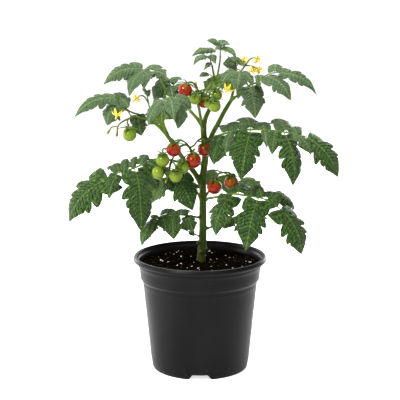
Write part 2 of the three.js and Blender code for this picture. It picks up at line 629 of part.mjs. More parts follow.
function truss(stalks, clearStem) {
  const pieces = [];
  for (const [radii, places, bears] of stalks) {
    pieces.push(stalk(places, radii, 3));
    const end = lastOf(places);
    const way = end.clone().sub(at(places[places.length - 2])).normalize();
    if (bears === "bud") pieces.push(bud(end, way));
    else if (bears in FRUITS) pieces.push(...calyx(crownOf(bears, end), end));
  }
  let body = join(pieces).subtract(clearStem);
  for (const [, places, bears] of stalks) {
    if (bears in FRUITS) body = body.subtract(ball(bears, crownOf(bears, lastOf(places)).way, GAP));
  }
  return largest(body);
}

// A fruit as a ball with its poles at its crown and its nose. `extra` swells it on every side.
function ball(name, way, extra = 0) {
  const [middle, radius] = FRUITS[name];
  const round = new THREE.SphereGeometry(radius + extra, 8, 5).rotateX(Math.PI / 2);
  round.applyQuaternion(new THREE.Quaternion().setFromUnitVectors(POLE, way));
  return solid(round.translate(...middle));
}

// Five pointed petals swept back from a cone of stamens.
function flower(name, stalkEnd) {
  const [look, petal] = FLOWERS[name];
  const way = at(look).normalize();
  const middle = stalkEnd.clone().addScaledVector(way, 1.6 + GAP);
  const side = new THREE.Vector3(1, 0, 0).cross(way).normalize();
  const nose = middle.clone().addScaledVector(way, 0.7 * petal);
  const back = middle.clone().addScaledVector(way, -0.7);
  const cone = stalk([back.toArray(), nose.toArray()], [1.9, 0.5], 5);
  const rim = [];
  for (let k = 0; k < 2 * PETALS; k += 1) {
    const spoke = side.clone().applyAxisAngle(way, (Math.PI * k) / PETALS);
    const [reach, sweep] = k % 2 ? [0.28, 0] : [0.94, -0.2];
    rim.push(middle.clone().addScaledVector(spoke, reach * petal).addScaledVector(way, sweep * petal));
  }
  return cone.add(star(middle, rim, way, SEPAL));
}

// ---------------------------------------------------------------- the plant, piece by piece
const FINISHES = {
  pot: new THREE.MeshStandardMaterial({ color: 0x26282a, roughness: 0.55, metalness: 0 }),
  soil: new THREE.MeshStandardMaterial({ color: 0x241b15, roughness: 1, metalness: 0 }),
  stem: new THREE.MeshStandardMaterial({ color: 0x4f6b2c, roughness: 0.6, metalness: 0 }),
  leaf: new THREE.MeshStandardMaterial({ color: 0x2f5a24, roughness: 0.6, metalness: 0 }),
  truss: new THREE.MeshStandardMaterial({ color: 0x5f8a35, roughness: 0.6, metalness: 0 }),
  red: new THREE.MeshStandardMaterial({ color: 0xb51a0e, roughness: 0.2, metalness: 0 }),
  orange: new THREE.MeshStandardMaterial({ color: 0xd0441a, roughness: 0.2, metalness: 0 }),
  green: new THREE.MeshStandardMaterial({ color: 0x8fa83e, roughness: 0.3, metalness: 0 }),
  flower: new THREE.MeshStandardMaterial({ color: 0xf2cf2a, roughness: 0.6, metalness: 0 }),
};

const group = new THREE.Group();

function place(name, finish, body) {
  const mesh = new THREE.Mesh(shape(body), FINISHES[finish]);
  mesh.name = name;
  group.add(mesh);
}

const plant = stems(0);
const clearance = stems(GAP);
place("pot", "pot", pot());
place("soil", "soil", soil(clearance));
place("stem", "stem", plant);
LEAVES.forEach(([name, radii, places, leaflets], number) => {
  place(name, "leaf", leaf(radii, places, leaflets, number + 1, clearance));
});
for (const [name, stalks] of TRUSSES) {
  place(name, "truss", truss(stalks, clearance));
  for (const [, places, bears] of stalks) {
    const end = lastOf(places);
    if (bears in FRUITS) place(bears, FRUITS[bears][2], ball(bears, crownOf(bears, end).way));
    if (bears in FLOWERS) place(bears, "flower", flower(bears, end));
  }
}

export default group;
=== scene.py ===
"""A bushy cherry tomato plant with ripe and green fruits, growing in a round nursery pot.

Tables and shapes are in millimetres, and what stands in the studio is in metres. A finished
piece is in metres, at the origin, with +Z up and -Y towards the front of the plant.
"""
import math

import bpy
import numpy as np
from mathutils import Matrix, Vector, noise


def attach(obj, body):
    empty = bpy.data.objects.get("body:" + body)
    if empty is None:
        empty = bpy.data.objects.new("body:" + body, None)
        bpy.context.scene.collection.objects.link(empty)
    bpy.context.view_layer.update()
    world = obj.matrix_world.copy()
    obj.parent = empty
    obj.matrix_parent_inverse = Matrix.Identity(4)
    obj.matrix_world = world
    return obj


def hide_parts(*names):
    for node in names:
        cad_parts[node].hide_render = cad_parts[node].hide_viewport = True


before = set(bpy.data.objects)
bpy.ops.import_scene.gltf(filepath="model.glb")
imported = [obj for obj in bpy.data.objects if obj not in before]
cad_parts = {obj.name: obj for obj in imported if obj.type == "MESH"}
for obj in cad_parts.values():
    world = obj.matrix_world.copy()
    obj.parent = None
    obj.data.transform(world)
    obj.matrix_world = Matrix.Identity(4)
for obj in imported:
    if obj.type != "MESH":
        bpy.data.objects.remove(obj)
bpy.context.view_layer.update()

# ---------------------------------------------------------------- where everything grows

# Each stem: name, [radius at its foot, radius at its tip], places along it.
STEMS = [
    ["main", [6.2, 4.2],
     [[1, 0, 119], [1, 0, 144], [2, 0, 163], [4, 0, 192], [4, 0, 221], [4, 1, 250], [4, 2, 274],
      [7, 2, 300], [7, 0, 317], [5, 0, 339], [5, 0, 351]]],
    ["centre", [3.6, 1.3],
     [[5, 0, 346], [8, 0, 360], [14, 1, 373], [19, 1, 387], [21, 0, 404], [19, 0, 419],
      [17, 2, 430]]],
    ["centre_top", [1.9, 1.1],
     [[21, 0, 398], [24, 1, 417], [27, 3, 434], [28, 4, 443]]],
    ["left_fork", [3.2, 2.0],
     [[5, 0, 345], [-3, 1, 357], [-12, 2, 367]]],
    ["right", [3.8, 2.6],
     [[7, 0, 308], [13, 0, 325], [18, 0, 338], [25, 0, 351], [32, 0, 365], [39, 0, 377],
      [44, 0, 385]]],
    ["right_up", [2.2, 1.3],
     [[42, 0, 381], [46, 2, 396], [48, 5, 405], [47, 6, 411]]],
    ["left", [4.0, 2.8],
     [[3, 2, 262], [-7, 0, 281], [-17, -1, 293], [-27, -2, 307], [-36, -3, 322], [-45, -3, 334],
      [-49, -3, 341]]],
    ["left_out", [2.3, 1.6],
     [[-45, -3, 334], [-58, -4, 348], [-69, -5, 356]]],
    ["left_shoot", [1.8, 1.0],
     [[-47, -3, 337], [-56, -2, 353], [-64, 0, 363], [-70, 2, 373], [-72, 3, 382]]],
    ["left_up", [2.4, 1.5],
     [[-45, -3, 336], [-51, -3, 351], [-51, -2, 366], [-49, 0, 379], [-49, 2, 387]]],
]

# Each leaf: name, [radius at its foot, radius at its tip], places along its stalk, and its leaflets
# as [how far along the stalk, tip, width, where the upper face looks].
LEAVES = [
    ["leaf_right_middle", [2.1, 0.9],
     [[8, -2, 325], [30, -20, 339], [55, -30, 346], [84, -38, 348], [115, -42, 345], [141, -44, 340]],
     [[0.20, [18, -44, 301], 27, "front_left"],
      [0.50, [55, -66, 284], 39, "front"],
      [0.62, [90, -58, 326], 11, "front"],
      [0.79, [127, -70, 277], 36, "front_right"],
      [0.72, [97, -62, 318], 19, "front"],
      [0.38, [38, 10, 347], 20, "up_front"],
      [0.62, [86, -8, 352], 22, "up_front"],
      [0.92, [128, -22, 348], 17, "up_front"],
      [0.90, [150, -66, 318], 17, "front_right"],
      [0.33, [34, -58, 318], 15, "front_left"],
      [0.50, [59, 25, 351], 29, "up"],
      [0.82, [103, 15, 352], 26, "up"],
      [1.00, [189, -55, 286], 35, "front_right"],
      [0.27, [29, 12, 344], 17, "up"],
      [0.88, [138, 0, 341], 14, "up"]]],
    ["leaf_right_low", [2.1, 0.9],
     [[5, -1, 244], [25, -22, 252], [44, -38, 259], [63, -46, 258], [81, -50, 256], [93, -52, 252],
      [106, -54, 244]],
     [[0.32, [20, -68, 208], 35, "front_left"],
      [0.66, [62, -82, 190], 39, "front"],
      [0.79, [135, -12, 232], 31, "up_front"],
      [0.71, [78, -25, 270], 14, "up_front"],
      [0.88, [112, -46, 262], 16, "up_front"],
      [0.56, [70, -40, 268], 14, "up_front"],
      [0.41, [57, 20, 256], 29, "up"],
      [1.00, [140, -68, 181], 39, "front_right"]]],
    ["leaf_right_low_back", [1.8, 0.9],
     [[6, 3, 199], [32, 22, 206], [55, 42, 211], [73, 58, 212]],
     [[0.57, [35, 60, 189], 26, "back"],
      [0.77, [68, 62, 176], 29, "back"],
      [1.00, [86, 95, 178], 36, "back"]]],
    ["leaf_right_back", [1.8, 0.9],
     [[6, 4, 265], [9, 22, 278], [20, 45, 278], [38, 66, 269], [56, 84, 255]],
     [[0.36, [20, 52, 247], 23, "back"],
      [0.75, [46, 76, 234], 27, "back"],
      [1.00, [94, 112, 224], 30, "back"]]],
    ["leaf_left_middle", [2.2, 0.9],
     [[-18, -2, 295], [-36, -14, 301], [-55, -24, 306], [-71, -34, 303], [-90, -44, 296],
      [-108, -48, 291], [-120, -50, 287]],
     [[0.67, [-78, -86, 218], 44, "front_right"],
      [0.58, [-58, -22, 259], 19, "front"],
      [0.70, [-87, -20, 309], 10, "up_front"],
      [0.79, [-101, -15, 304], 13, "up_front"],
      [0.86, [-118, -24, 299], 16, "up_front"],
      [0.60, [-72, -16, 310], 15, "up_front"],
      [0.52, [-52, -40, 289], 17, "front"],
      [0.88, [-129, -8, 288], 14, "up"],
      [0.47, [-64, -12, 276], 22, "front"],
      [0.89, [-123, -72, 259], 19, "front"],
      [1.00, [-180, -66, 227], 45, "front_left"]]],
    ["leaf_centre", [1.8, 0.9],
     [[3, -1, 238], [-5, -12, 259], [-13, -16, 271], [-25, -18, 279], [-39, -18, 285]],
     [[0.85, [-57, -34, 249], 12, "front_left"],
      [0.65, [-48, -8, 259], 20, "up_front"],
      [1.00, [-10, -34, 235], 37, "front"]]],
    ["leaf_left_low", [1.8, 0.8],
     [[2, -1, 217], [-14, -14, 223], [-28, -26, 227], [-42, -33, 229], [-55, -38, 227],
      [-65, -41, 220]],
     [[0.27, [-10, -34, 204], 18, "front"],
      [0.58, [-36, -54, 199], 25, "front"],
      [0.40, [-20, 12, 221], 20, "up"],
      [0.50, [-34, -10, 227], 14, "up_front"],
      [0.76, [-46, -50, 208], 15, "front"],
      [0.68, [-40, 8, 222], 20, "up"],
      [0.89, [-68, -60, 205], 16, "front"],
      [1.00, [-81, -52, 189], 19, "front_left"],
      [0.91, [-66, -20, 224], 11, "up"]]],
    ["leaf_left_lowest", [1.2, 0.7],
     [[2, -1, 189], [-14, -10, 199], [-27, -16, 205], [-32, -18, 205]],
     [[0.34, [-8, -22, 196], 8, "front"],
      [0.55, [-17, -14, 214], 13, "up_front"],
      [1.00, [-45, -24, 200], 15, "front"]]],
    ["leaf_upper_left", [1.6, 0.8],
     [[-49, 2, 388], [-49, 1, 400], [-57, -1, 415], [-69, 0, 424], [-75, 1, 426]],
     [[0.93, [-97, -34, 395], 26, "front_left"],
      [0.71, [-77, -30, 403], 19, "front_left"],
      [0.67, [-46, -18, 418], 18, "up_front"],
      [0.79, [-56, 38, 424], 20, "up"],
      [1.00, [-134, -4, 408], 28, "up_front"]]],
    ["leaf_upper_left_rear", [1.5, 0.8],
     [[-13, 2, 367], [-22, 9, 379], [-33, 15, 393], [-45, 18, 408]],
     [[0.80, [-27, 0, 401], 20, "up_front"],
      [0.87, [-38, -4, 387], 21, "front"],
      [0.94, [-27, 36, 412], 17, "up"],
      [0.97, [-62, 42, 412], 14, "up"],
      [1.00, [-66, 16, 384], 25, "front_left"]]],
    ["leaf_upper_left_front", [1.5, 0.8],
     [[-51, -3, 365], [-50, -28, 378], [-47, -46, 390], [-39, -54, 394], [-32, -58, 393]],
     [[0.32, [-64, -40, 383], 19, "up_front"],
      [0.50, [-69, -84, 361], 24, "front_left"],
      [0.67, [-34, -92, 369], 23, "front"],
      [0.90, [-11, -56, 379], 19, "up_front"],
      [1.00, [-28, -84, 356], 27, "front_right"]]],
    ["leaf_far_left", [1.6, 0.8],
     [[-69, -5, 356], [-82, -8, 364], [-93, -11, 368], [-101, -13, 373], [-107, -16, 382],
      [-110, -17, 388]],
     [[0.29, [-81, -20, 337], 22, "front"],
      [0.91, [-97, -36, 379], 17, "front"],
      [0.96, [-128, -28, 353], 30, "front_left"],
      [0.87, [-118, 15, 391], 20, "up"],
      [1.00, [-172, -30, 366], 23, "up_front"]]],
    ["leaf_shoot", [0.8, 0.5],
     [[-72, 3, 382], [-73, 2, 388], [-75, 1, 394]],
     [[0.63, [-69, -4, 399], 7, "front"],
      [1.00, [-78, -6, 403], 7, "front_left"],
      [0.81, [-71, 14, 394], 7, "up"]]],
    ["leaf_top", [1.0, 0.6],
     [[28, 4, 443], [28, 4, 451], [28, 3, 458]],
     [[0.89, [40, -12, 462], 9, "up_front"],
      [0.83, [50, -22, 444], 13, "front_right"],
      [0.94, [34, 38, 461], 14, "up"],
      [1.00, [10, -4, 467], 11, "up_front"],
      [0.72, [20, -22, 454], 8, "front"]]],
    ["leaf_top_left", [1.0, 0.6],
     [[17, 2, 430], [14, 4, 442], [17, 5, 452]],
     [[0.50, [-9, -26, 436], 15, "front_left"],
      [0.69, [21, -14, 436], 10, "front"],
      [0.82, [8, 40, 448], 14, "up"],
      [1.00, [-11, -8, 446], 12, "up_front"],
      [0.18, [5, -18, 427], 7, "front"]]],
    ["leaf_young", [0.8, 0.5],
     [[20, 0, 409], [17, -6, 417], [12, -8, 421]],
     [[1.00, [-1, -12, 418], 8, "up_front"]]],
    ["leaf_top_right", [1.0, 0.6],
     [[47, 6, 411], [47, 8, 419], [49, 8, 426], [53, 8, 435]],
     [[0.86, [32, -8, 435], 18, "front"],
      [0.89, [44, 32, 441], 17, "up"],
      [1.00, [59, -16, 433], 14, "front_right"]]],
    ["leaf_upper_right", [1.4, 0.7],
     [[20, 0, 393], [28, -8, 403], [41, -26, 421], [51, -34, 429], [55, -38, 427]],
     [[0.68, [30, -48, 412], 19, "front_left"],
      [1.00, [71, -54, 409], 16, "front_right"],
      [1.00, [49, -66, 405], 24, "front"]]],
    ["leaf_right_top", [1.7, 0.8],
     [[44, 0, 386], [57, -6, 394], [68, -14, 406], [79, -18, 411], [87, -20, 418], [97, -22, 423],
      [112, -22, 425]],
     [[0.34, [75, -42, 365], 30, "front"],
      [0.27, [53, 18, 385], 17, "up_back"],
      [0.60, [79, 28, 404], 14, "up"],
      [0.72, [123, -46, 390], 27, "front_right"],
      [0.89, [107, 25, 426], 20, "up"],
      [0.92, [160, -28, 396], 20, "up_front"],
      [0.49, [81, -28, 405], 7, "front"]]],
    ["leaf_back_left", [1.6, 0.8],
     [[-51, -3, 359], [-54, 24, 365], [-52, 50, 370], [-46, 74, 372]],
     [[0.39, [-71, 38, 346], 26, "back"],
      [0.67, [-32, 70, 350], 29, "back"],
      [0.55, [-65, 58, 381], 26, "up_back"],
      [1.00, [-55, 114, 346], 33, "back"]]],
    ["leaf_back_right", [1.8, 0.9],
     [[8, 5, 302], [23, 34, 312], [41, 62, 318], [59, 88, 317]],
     [[0.34, [25, 62, 288], 26, "back"],
      [0.50, [49, 44, 328], 20, "up_back"],
      [0.72, [65, 92, 281], 30, "back"],
      [1.00, [85, 126, 290], 33, "back"]]],
    ["leaf_back_low", [1.8, 0.9],
     [[1, 5, 259], [-17, 32, 266], [-41, 58, 265], [-65, 82, 257]],
     [[0.47, [-30, 78, 236], 30, "back"],
      [0.67, [-59, 92, 275], 24, "up_back"],
      [0.79, [-76, 86, 220], 30, "back"],
      [1.00, [-97, 112, 225], 36, "back"]]],
    ["leaf_back_top", [1.4, 0.7],
     [[21, 1, 400], [26, 28, 412], [32, 52, 415]],
     [[0.45, [8, 36, 392], 20, "back"],
      [0.70, [46, 52, 392], 24, "back"],
      [1.00, [36, 84, 394], 28, "back"]]],
]

# Each truss or spray: name, and its stalks as [[radius at foot, radius at tip], places, what it bears].
TRUSSES = [
    ["truss_top", [
        [[1.5, 1.0],
         [[4, -3, 347], [1, -10, 360], [-1, -16, 372], [-3, -18, 382], [-3, -17, 390], [-3, -16, 397],
          [-5, -16, 404]], "bud"],
        [[0.8, 0.8], [[-3, -16, 397], [-8, -20, 408], [-12, -24, 411], [-16, -27, 411]], "fruit_top_1"],
        [[0.8, 0.8], [[-3, -17, 392], [-2, -21, 399], [-4, -25, 401], [-6, -28, 399]], "fruit_top_2"],
        [[0.8, 0.8], [[-3, -17, 390], [0, -14, 396], [4, -12, 395]], "fruit_top_3"],
        [[0.9, 0.8],
         [[-3, -16, 397], [4, -17, 400], [11, -20, 401], [13, -24, 396],
          [12, -24, 390]], "fruit_top_4"],
        [[0.8, 0.8], [[13, -24, 396], [16, -31, 395], [18, -36, 390]], "fruit_top_5"],
        [[0.8, 0.8], [[11, -20, 401], [18, -20, 406], [22, -20, 403]], "fruit_top_6"],
    ]],
    ["truss_middle", [
        [[1.5, 1.1],
         [[4, 2, 292], [-4, -8, 301], [-10, -14, 309], [-14, -20, 320], [-19, -24, 325],
          [-25, -26, 324], [-32, -26, 320], [-39, -27, 318], [-47, -30, 320]], ""],
        [[0.9, 0.8],
         [[-14, -20, 320], [-19, -28, 328], [-26, -36, 333], [-33, -40, 333]], "fruit_middle_1"],
        [[0.8, 0.8], [[-12, -16, 313], [-8, -22, 319], [-9, -28, 317]], "fruit_middle_2"],
        [[0.9, 0.8],
         [[-14, -20, 320], [-8, -20, 324], [-3, -19, 330], [3, -19, 333],
          [6, -19, 331]], "fruit_middle_3"],
        [[0.8, 0.8], [[-47, -30, 320], [-50, -38, 322], [-51, -44, 319]], "fruit_middle_4"],
        [[1.0, 0.8],
         [[-32, -26, 320], [-36, -28, 310], [-40, -36, 302], [-42, -42, 293],
          [-45, -44, 283]], "bud"],
        [[0.8, 0.8], [[-40, -36, 302], [-35, -43, 302], [-33, -49, 297]], "fruit_middle_7"],
        [[0.8, 0.8],
         [[-32, -26, 320], [-28, -30, 312], [-25, -35, 310], [-24, -38, 308]], "fruit_middle_6"],
        [[0.8, 0.8], [[-41, -39, 297], [-46, -38, 294], [-49, -40, 292]], "fruit_middle_5"],
    ]],
    ["truss_low", [
        [[1.3, 0.9],
         [[5, 0, 243], [11, 4, 252], [18, 5, 263], [23, 0, 275], [26, -4, 281], [31, -7, 283],
          [38, -9, 284], [43, -10, 282]], "fruit_low_2"],
        [[0.8, 0.8], [[25, -2, 279], [24, -9, 280], [22, -13, 277]], "fruit_low_1"],
    ]],
    ["spray_left", [
        [[1.1, 0.7],
         [[-67, -6, 355], [-76, -18, 360], [-88, -26, 364], [-97, -31, 362], [-106, -33, 358],
          [-112, -34, 352], [-113, -35, 344]], "bud"],
        [[0.8, 0.8], [[-98, -31, 362], [-99, -36, 357], [-97, -38, 353]], "fruit_left"],
        [[0.7, 0.6],
         [[-93, -29, 363], [-99, -33, 373], [-107, -36, 375], [-112, -41, 371]], "flower_left"],
        [[0.6, 0.6], [[-112, -34, 352], [-120, -36, 351], [-123, -37, 347]], "bud"],
    ]],
    ["spray_shoot", [
        [[0.8, 0.6], [[-72, 3, 380], [-77, -3, 389], [-83, -8, 391], [-87, -10, 388]], "flower_shoot"],
    ]],
    ["spray_right", [
        [[1.0, 0.7],
         [[48, 6, 409], [53, 9, 419], [59, 10, 426], [64, 9, 433], [69, 7, 440], [75, 5, 442],
          [79, 4, 440]], "flower_right_2"],
        [[0.6, 0.6], [[60, 10, 428], [63, 5, 435], [61, 3, 439]], "flower_right_1"],
        [[0.7, 0.6], [[63, 10, 431], [70, 6, 431], [76, 2, 429], [81, 0, 426]], "flower_right_4"],
        [[0.6, 0.6], [[70, 6, 431], [73, 3, 429], [73, 2, 426]], "flower_right_3"],
    ]],
    ["spray_centre", [
        [[0.9, 0.6],
         [[22, 0, 406], [28, -8, 412], [33, -12, 413], [38, -14, 408],
          [39, -15, 402]], "flower_centre"],
    ]],
]

# Each fruit: middle, radius, colour.
FRUITS = {
    "fruit_top_1": [[-20, -28, 401], 9.0, "red"],
    "fruit_top_2": [[-7, -28, 389], 7.8, "green"],
    "fruit_top_3": [[6, -10, 384], 9.4, "red"],
    "fruit_top_4": [[12, -24, 382], 6.4, "green"],
    "fruit_top_5": [[20, -38, 380], 7.9, "green"],
    "fruit_top_6": [[23, -20, 393], 7.3, "green"],
    "fruit_middle_1": [[-36, -40, 321], 9.6, "red"],
    "fruit_middle_2": [[-9, -30, 304], 10.2, "red"],
    "fruit_middle_3": [[7, -19, 318], 9.6, "red"],
    "fruit_middle_4": [[-51, -46, 307], 9.0, "green"],
    "fruit_middle_5": [[-57, -47, 290], 8.4, "green"],
    "fruit_middle_6": [[-24, -38, 296], 8.8, "green"],
    "fruit_middle_7": [[-33, -50, 286], 8.3, "green"],
    "fruit_low_1": [[20, -14, 264], 9.8, "red"],
    "fruit_low_2": [[44, -10, 270], 9.4, "orange"],
    "fruit_left": [[-96, -38, 341], 9.1, "green"],
}

# Each flower: where it looks, length of a petal.
FLOWERS = {
    "flower_right_1": [[-0.5, -0.8, -0.1], 8],
    "flower_right_2": [[0.5, -0.7, -0.5], 8],
    "flower_right_3": [[0.1, -0.7, -0.7], 8],
    "flower_right_4": [[0.5, -0.7, -0.4], 8],
    "flower_centre": [[-0.5, -0.6, -0.6], 10],
    "flower_left": [[-0.2, -0.6, -0.8], 10],
    "flower_shoot": [[-0.6, -0.6, -0.5], 9],
}

# ---------------------------------------------------------------- sizes
# Leaflets. Along the rib sizes are shares of a leaflet's length, and across it of its half width.
BLADE = 0.45               # thickness of a blade in mm
FULL = 1.1                 # blades are a little fuller than the widths listed
ARCH, RISE = 0.1, 0.07     # rise of the rib above a straight line, and what an upturned leaflet adds
NOD = 0.05                 # how far its end bends down again
BOW, SWAY = 0.09, 0.02     # how far the rib bows upwards, and most that it sways, in the blade's plane
FALL, FALL_VARIES = 0.3, (0.8, 1.2)        # how far the halves of a blade fall away from the rib
TWIST = 0.35               # most that a blade turns between its base and its tip, in radians
STALK_END = 0.07           # a leaflet's own stalk ends here
FOOT_LENGTH, FOOT_REACH = 0.03, 0.25       # and the blade widens over this length from this reach
# By length: the breadth just past the foot and past the lobes, how sharp the end is, and each lobe
# as its place on the rib, its reach and the reach of the notch past it.
OUTLINES = [
    {"over": 61, "shoulder": 0.72, "end": 0.7, "sharpness": 0.78,
     "lobes": [(0.16, 0.92, 0.6), (0.33, 1.0, 0.62), (0.49, 0.84, 0.62)]},
    {"over": 24, "shoulder": 0.74, "end": 0.78, "sharpness": 0.74,
     "lobes": [(0.2, 0.92, 0.7), (0.39, 1.0, 0.74)]},
    {"over": 0, "shoulder": 0.76, "end": 0.93, "sharpness": 0.64,
     "lobes": [(0.28, 1.0, 0.93)]},
]
LOBE = [                   # [past the lobe's tip, share of the way up from its notch]
    (-0.05, 0.8), (-0.025, 0.95), (0, 1), (0.025, 0.95), (0.05, 0.75), (0.07, 0.4), (0.085, 0),
]
LOBE_SHIFTS = (-0.015, 0.015)      # how far lobes lie from the places listed
LOBES_VARY, NOTCHES_VARY = (0.93, 1.07), (0.88, 1.12)      # shares of the reaches listed
LOBE_SWELL = 2.2           # how fast a lobe swells out of the notch before it
OGIVE = [                  # [share of the rib past the last notch, share of the end's breadth]
    (0.08, 0.97), (0.17, 0.87), (0.3, 0.71), (0.42, 0.56), (0.56, 0.4), (0.7, 0.25), (0.85, 0.11), (1, 0),
]
VEINS, VEIN_GAP = 4, 7     # side veins of the shortest blade, and the mm that each further one takes
SLANT, MOST_SLANT = 0.62, 0.3      # how far forward side veins lean, as a share of what they cross
LEAN_BACK = 0.6            # and how far back, for the same share, at the blade's foot
VEIN_BEND = 1.12           # above 1, side veins bend forwards on their way to the edge
PUFF = 0.28                # rise of the panels between side veins, for the root of the width in mm
RUFFLE = 0.03              # rise of the waves along the margin, as a share of the width
TOOTH = 0.02               # height of the small teeth
RIB_SIDES = 6
RIB_END = 0.95             # the rib ends here
RIB_RADIUS, RIB_PER_MM = 0.32, 0.009       # in mm, and what each mm of width adds
RIB_TAPER = 0.8            # share of its radius that a rib loses on its way
RIB_SWELL, RIB_SWELL_FADE = 0.5, 1.5       # swelling at its foot, and over how many mm that fades
RIB_SINK = 0.2             # mm that its middle lies below the blade's
RIB_POINTS = 22
FEWEST_ROWS, MOST_ROWS = 14, 70    # along a blade, with one for each mm between these
ROOM = 0.4                 # share of the step between rows that even rows keep from the marked ones
COLUMNS = [(23, 11), (12, 8), (0, 5)]      # of faces across half of a blade wider than so many mm
FACING = {
    "front": (0, -1, 0.35), "front_left": (-0.6, -1, 0.35), "front_right": (0.6, -1, 0.35),
    "up_front": (0, -0.75, 0.75), "up": (0, -0.15, 1), "up_back": (0, 0.7, 0.8), "back": (0, 1, 0.4),
}

# Stalks. A rounded end adds a ring and a point, and the swelling at a leaf's foot fades over some mm.
END_RING, END_RADIUS, END_POINT = 0.35, 0.7, 0.4   # as shares of the radius there
LEAF_SWELL, LEAF_SWELL_FADE = 0.35, 4
LEAF_GROOVE = 0.22         # depth of the channel along the upper side, as a share of the radius
TRUSS_SIDES = 9
THICK = 1.4                # truss stalks are thicker than the radii listed
KNEE, KNEE_PLACE, KNEE_WIDTH = 0.45, 0.55, 0.1     # the joint on a side stalk swells so much
CROWN_SWELL = 0.4          # and the end of every stalk so much
STALK_DEPTH = 0.84         # a fruit's stalk ends this far from the fruit's middle, in radii

# Fruits, flowers and buds.
PLUMP = 1.07               # fruits are a little plumper than the radii listed
SQUAT = 0.97               # and a little lower
TILT = np.array([0.0, -0.35, 0.0])         # they hang with their crowns turned a little to the front
FRUIT_RINGS, FRUIT_SIDES = 30, 44
DIMPLE, DIMPLE_WIDTH = 0.1, 0.4            # at the crown, in radii and radians
NOSE, NOSE_WIDTH = 0.025, 0.22             # and the faint point opposite
CHAMBERS, CHAMBER_BULGE = 5, 0.012         # of a fruit, and how far they show at its shoulders
SEPALS, PETALS = 6, 5
STRIP_POINTS = 13          # along a sepal or petal
SEPAL_WIDTH, SEPAL_THICKNESS = 1.65, 0.45  # on a fruit, in mm
SEPAL_START, SEPAL_SPANS = 0.1, (0.8, 1.3) # radians from the crown, and how many more to its tip
SEPAL_TURNS, SEPAL_LIFTS = (-0.15, 0.15), (1.5, 8.5)       # radians aside, and mm that its tip rises
FLOWER_REACH = 1.9         # from the stalk's end to the flower's middle, in mm
CONE_SIDES = 15
CONE_RADIUS, CONE_LENGTH = 0.2, 0.92       # in lengths of a petal, and so are the next two
PETAL_WIDTH, FLOWER_SEPAL_WIDTH = 0.2, 0.075
PETAL_THICKNESS = 0.28     # in mm, and of these sepals too
PETAL_BENDS = (0.75, 1.35) # how strongly petals sweep back
BUD_CUP, BUD_PETALS, BUD_SEPALS = (0, 4.2), (2.0, 8.2), (0.5, 7.5)     # where they start and end in mm
BUD_POINTS = 9
BUD_SEPAL_WIDTH, BUD_SEPAL_THICKNESS = 0.62, 0.25  # in mm
BUD_OPENS = (0, 0.9)       # mm that its sepals stand off at their tips
WHOLE_TURN = 6             # radians, nearly, for turning things at random

# Stem.
STEM_SIDES, COLLAR_SIDES = 20, 12
FLARE, FLARE_FROM, FLARE_FADE = 1.5, 150, 7        # how the main stem thickens towards the soil
COLLAR = np.array([1.7, 1.6, 1.45, 1.3, 1.1])      # swelling under a leaf, in radii of the leaf's foot
COLLAR_REACH = 1.6         # and how far it stands out of the stem, in the same
SCARS = [(171, 0.5), (181, 2.6), (166, 1.7)]       # height and turn of the scars that old leaves left
SCAR_MIDDLE, SCAR_RADIUS, SCAR_REACH, SCAR_RISE = (3, -1), 2.0, 9, 3
STEM_VOXEL = 0.0007        # metres

# Pot and soil.
POT_SIDES = 240
FOOT_RING = {"inner": 61, "crest": 65.5, "height": 6.5, "fade": 14}
NOTCH = {"count": 4, "half_foot": 14.4, "half_top": 8.4}       # half widths in degrees
DRAIN_HOLE = {"radius": 5, "from_middle": 52, "heights": (3, 6, 9, 12), "sides": 24}
SOIL = {"level": 150.6, "heap": 3, "lump": 1.1, "edge": 85.6, "foot": 9.8, "rings": 56, "sides": 168}
SOIL_WALL = [(66.5, 9.8), (77.9, 122), (82.9, 131), (85.2, 146)]       # [radius, height] inside the pot
STREWN_OVER = (8, 84.6)    # radii between which things lie on the soil
CRUMBLE = [                # layers of crumbs: size, height, slice of the noise, smoothness, gap, octaves
    (5.5, 1.5, 3, 0.9, 2.1, 4), (2.1, 0.7, 9, 0.8, 2.0, 2),
]
MOUND, MOUND_SPREAD = 1.8, 160     # soil heaped against the stem, in mm and square mm

# Studio, in metres.
SWEEP = [(14, 0), (17, 0.25), (19, 0.8), (20, 1.8), (20.5, 4.5)]       # the floor's rim, out and up
FLOOR_SIDES, FLOOR_GREY = 64, 225
FLOOR_GLOW = (1.2, 5.0, 0.7, 0.86)     # between these distances from the pot it goes between these
WORLD_LIGHT = 0.22
CAMERA_PLACE, CAMERA_PITCH = (0, -1.602, 0.5585), 11.15        # it looks down by so many degrees
FOCAL_PIXELS, PICTURE, SENSOR = 1157, 400, 36      # in pixels of a picture so wide, and in mm
PLANT_MIDDLE, POT_MIDDLE = (0, 0, 0.28), (0, 0, 0.15)
LIGHTS = [                 # name, place, what it shines at, width, height, watts
    ("key", (-1.0, -1.2, 1.5), PLANT_MIDDLE, 0.6, 0.6, 68),
    ("left_side", (-1.5, 0.1, 0.45), POT_MIDDLE, 0.5, 0.9, 16),
    ("left_rim", (-1.0, 1.3, 0.45), POT_MIDDLE, 0.5, 1.0, 14),
    ("right_rim", (0.8, 1.4, 0.45), POT_MIDDLE, 0.4, 1.0, 12),
    ("back", (0, 2.3, 0.95), PLANT_MIDDLE, 3.2, 1.5, 24),
    ("top", (0.2, 0.1, 1.7), PLANT_MIDDLE, 0.9, 0.9, 44),
]
UP = np.array([0.0, 0.0, 1.0])


# ---------------------------------------------------------------- small helpers
def chance(seed, draw):
    """A steady number between 0 and 1 for each seed and draw."""
    wave = math.sin(seed * 12.9898 + draw * 78.233) * 43758.5453
    return wave - math.floor(wave)


def between(low, high, seed, draw):
    """A steady number between low and high for each seed and draw."""
    return low + (high - low) * chance(seed, draw)


def unit(v):
    v = np.asarray(v, float)
    return v / np.linalg.norm(v)


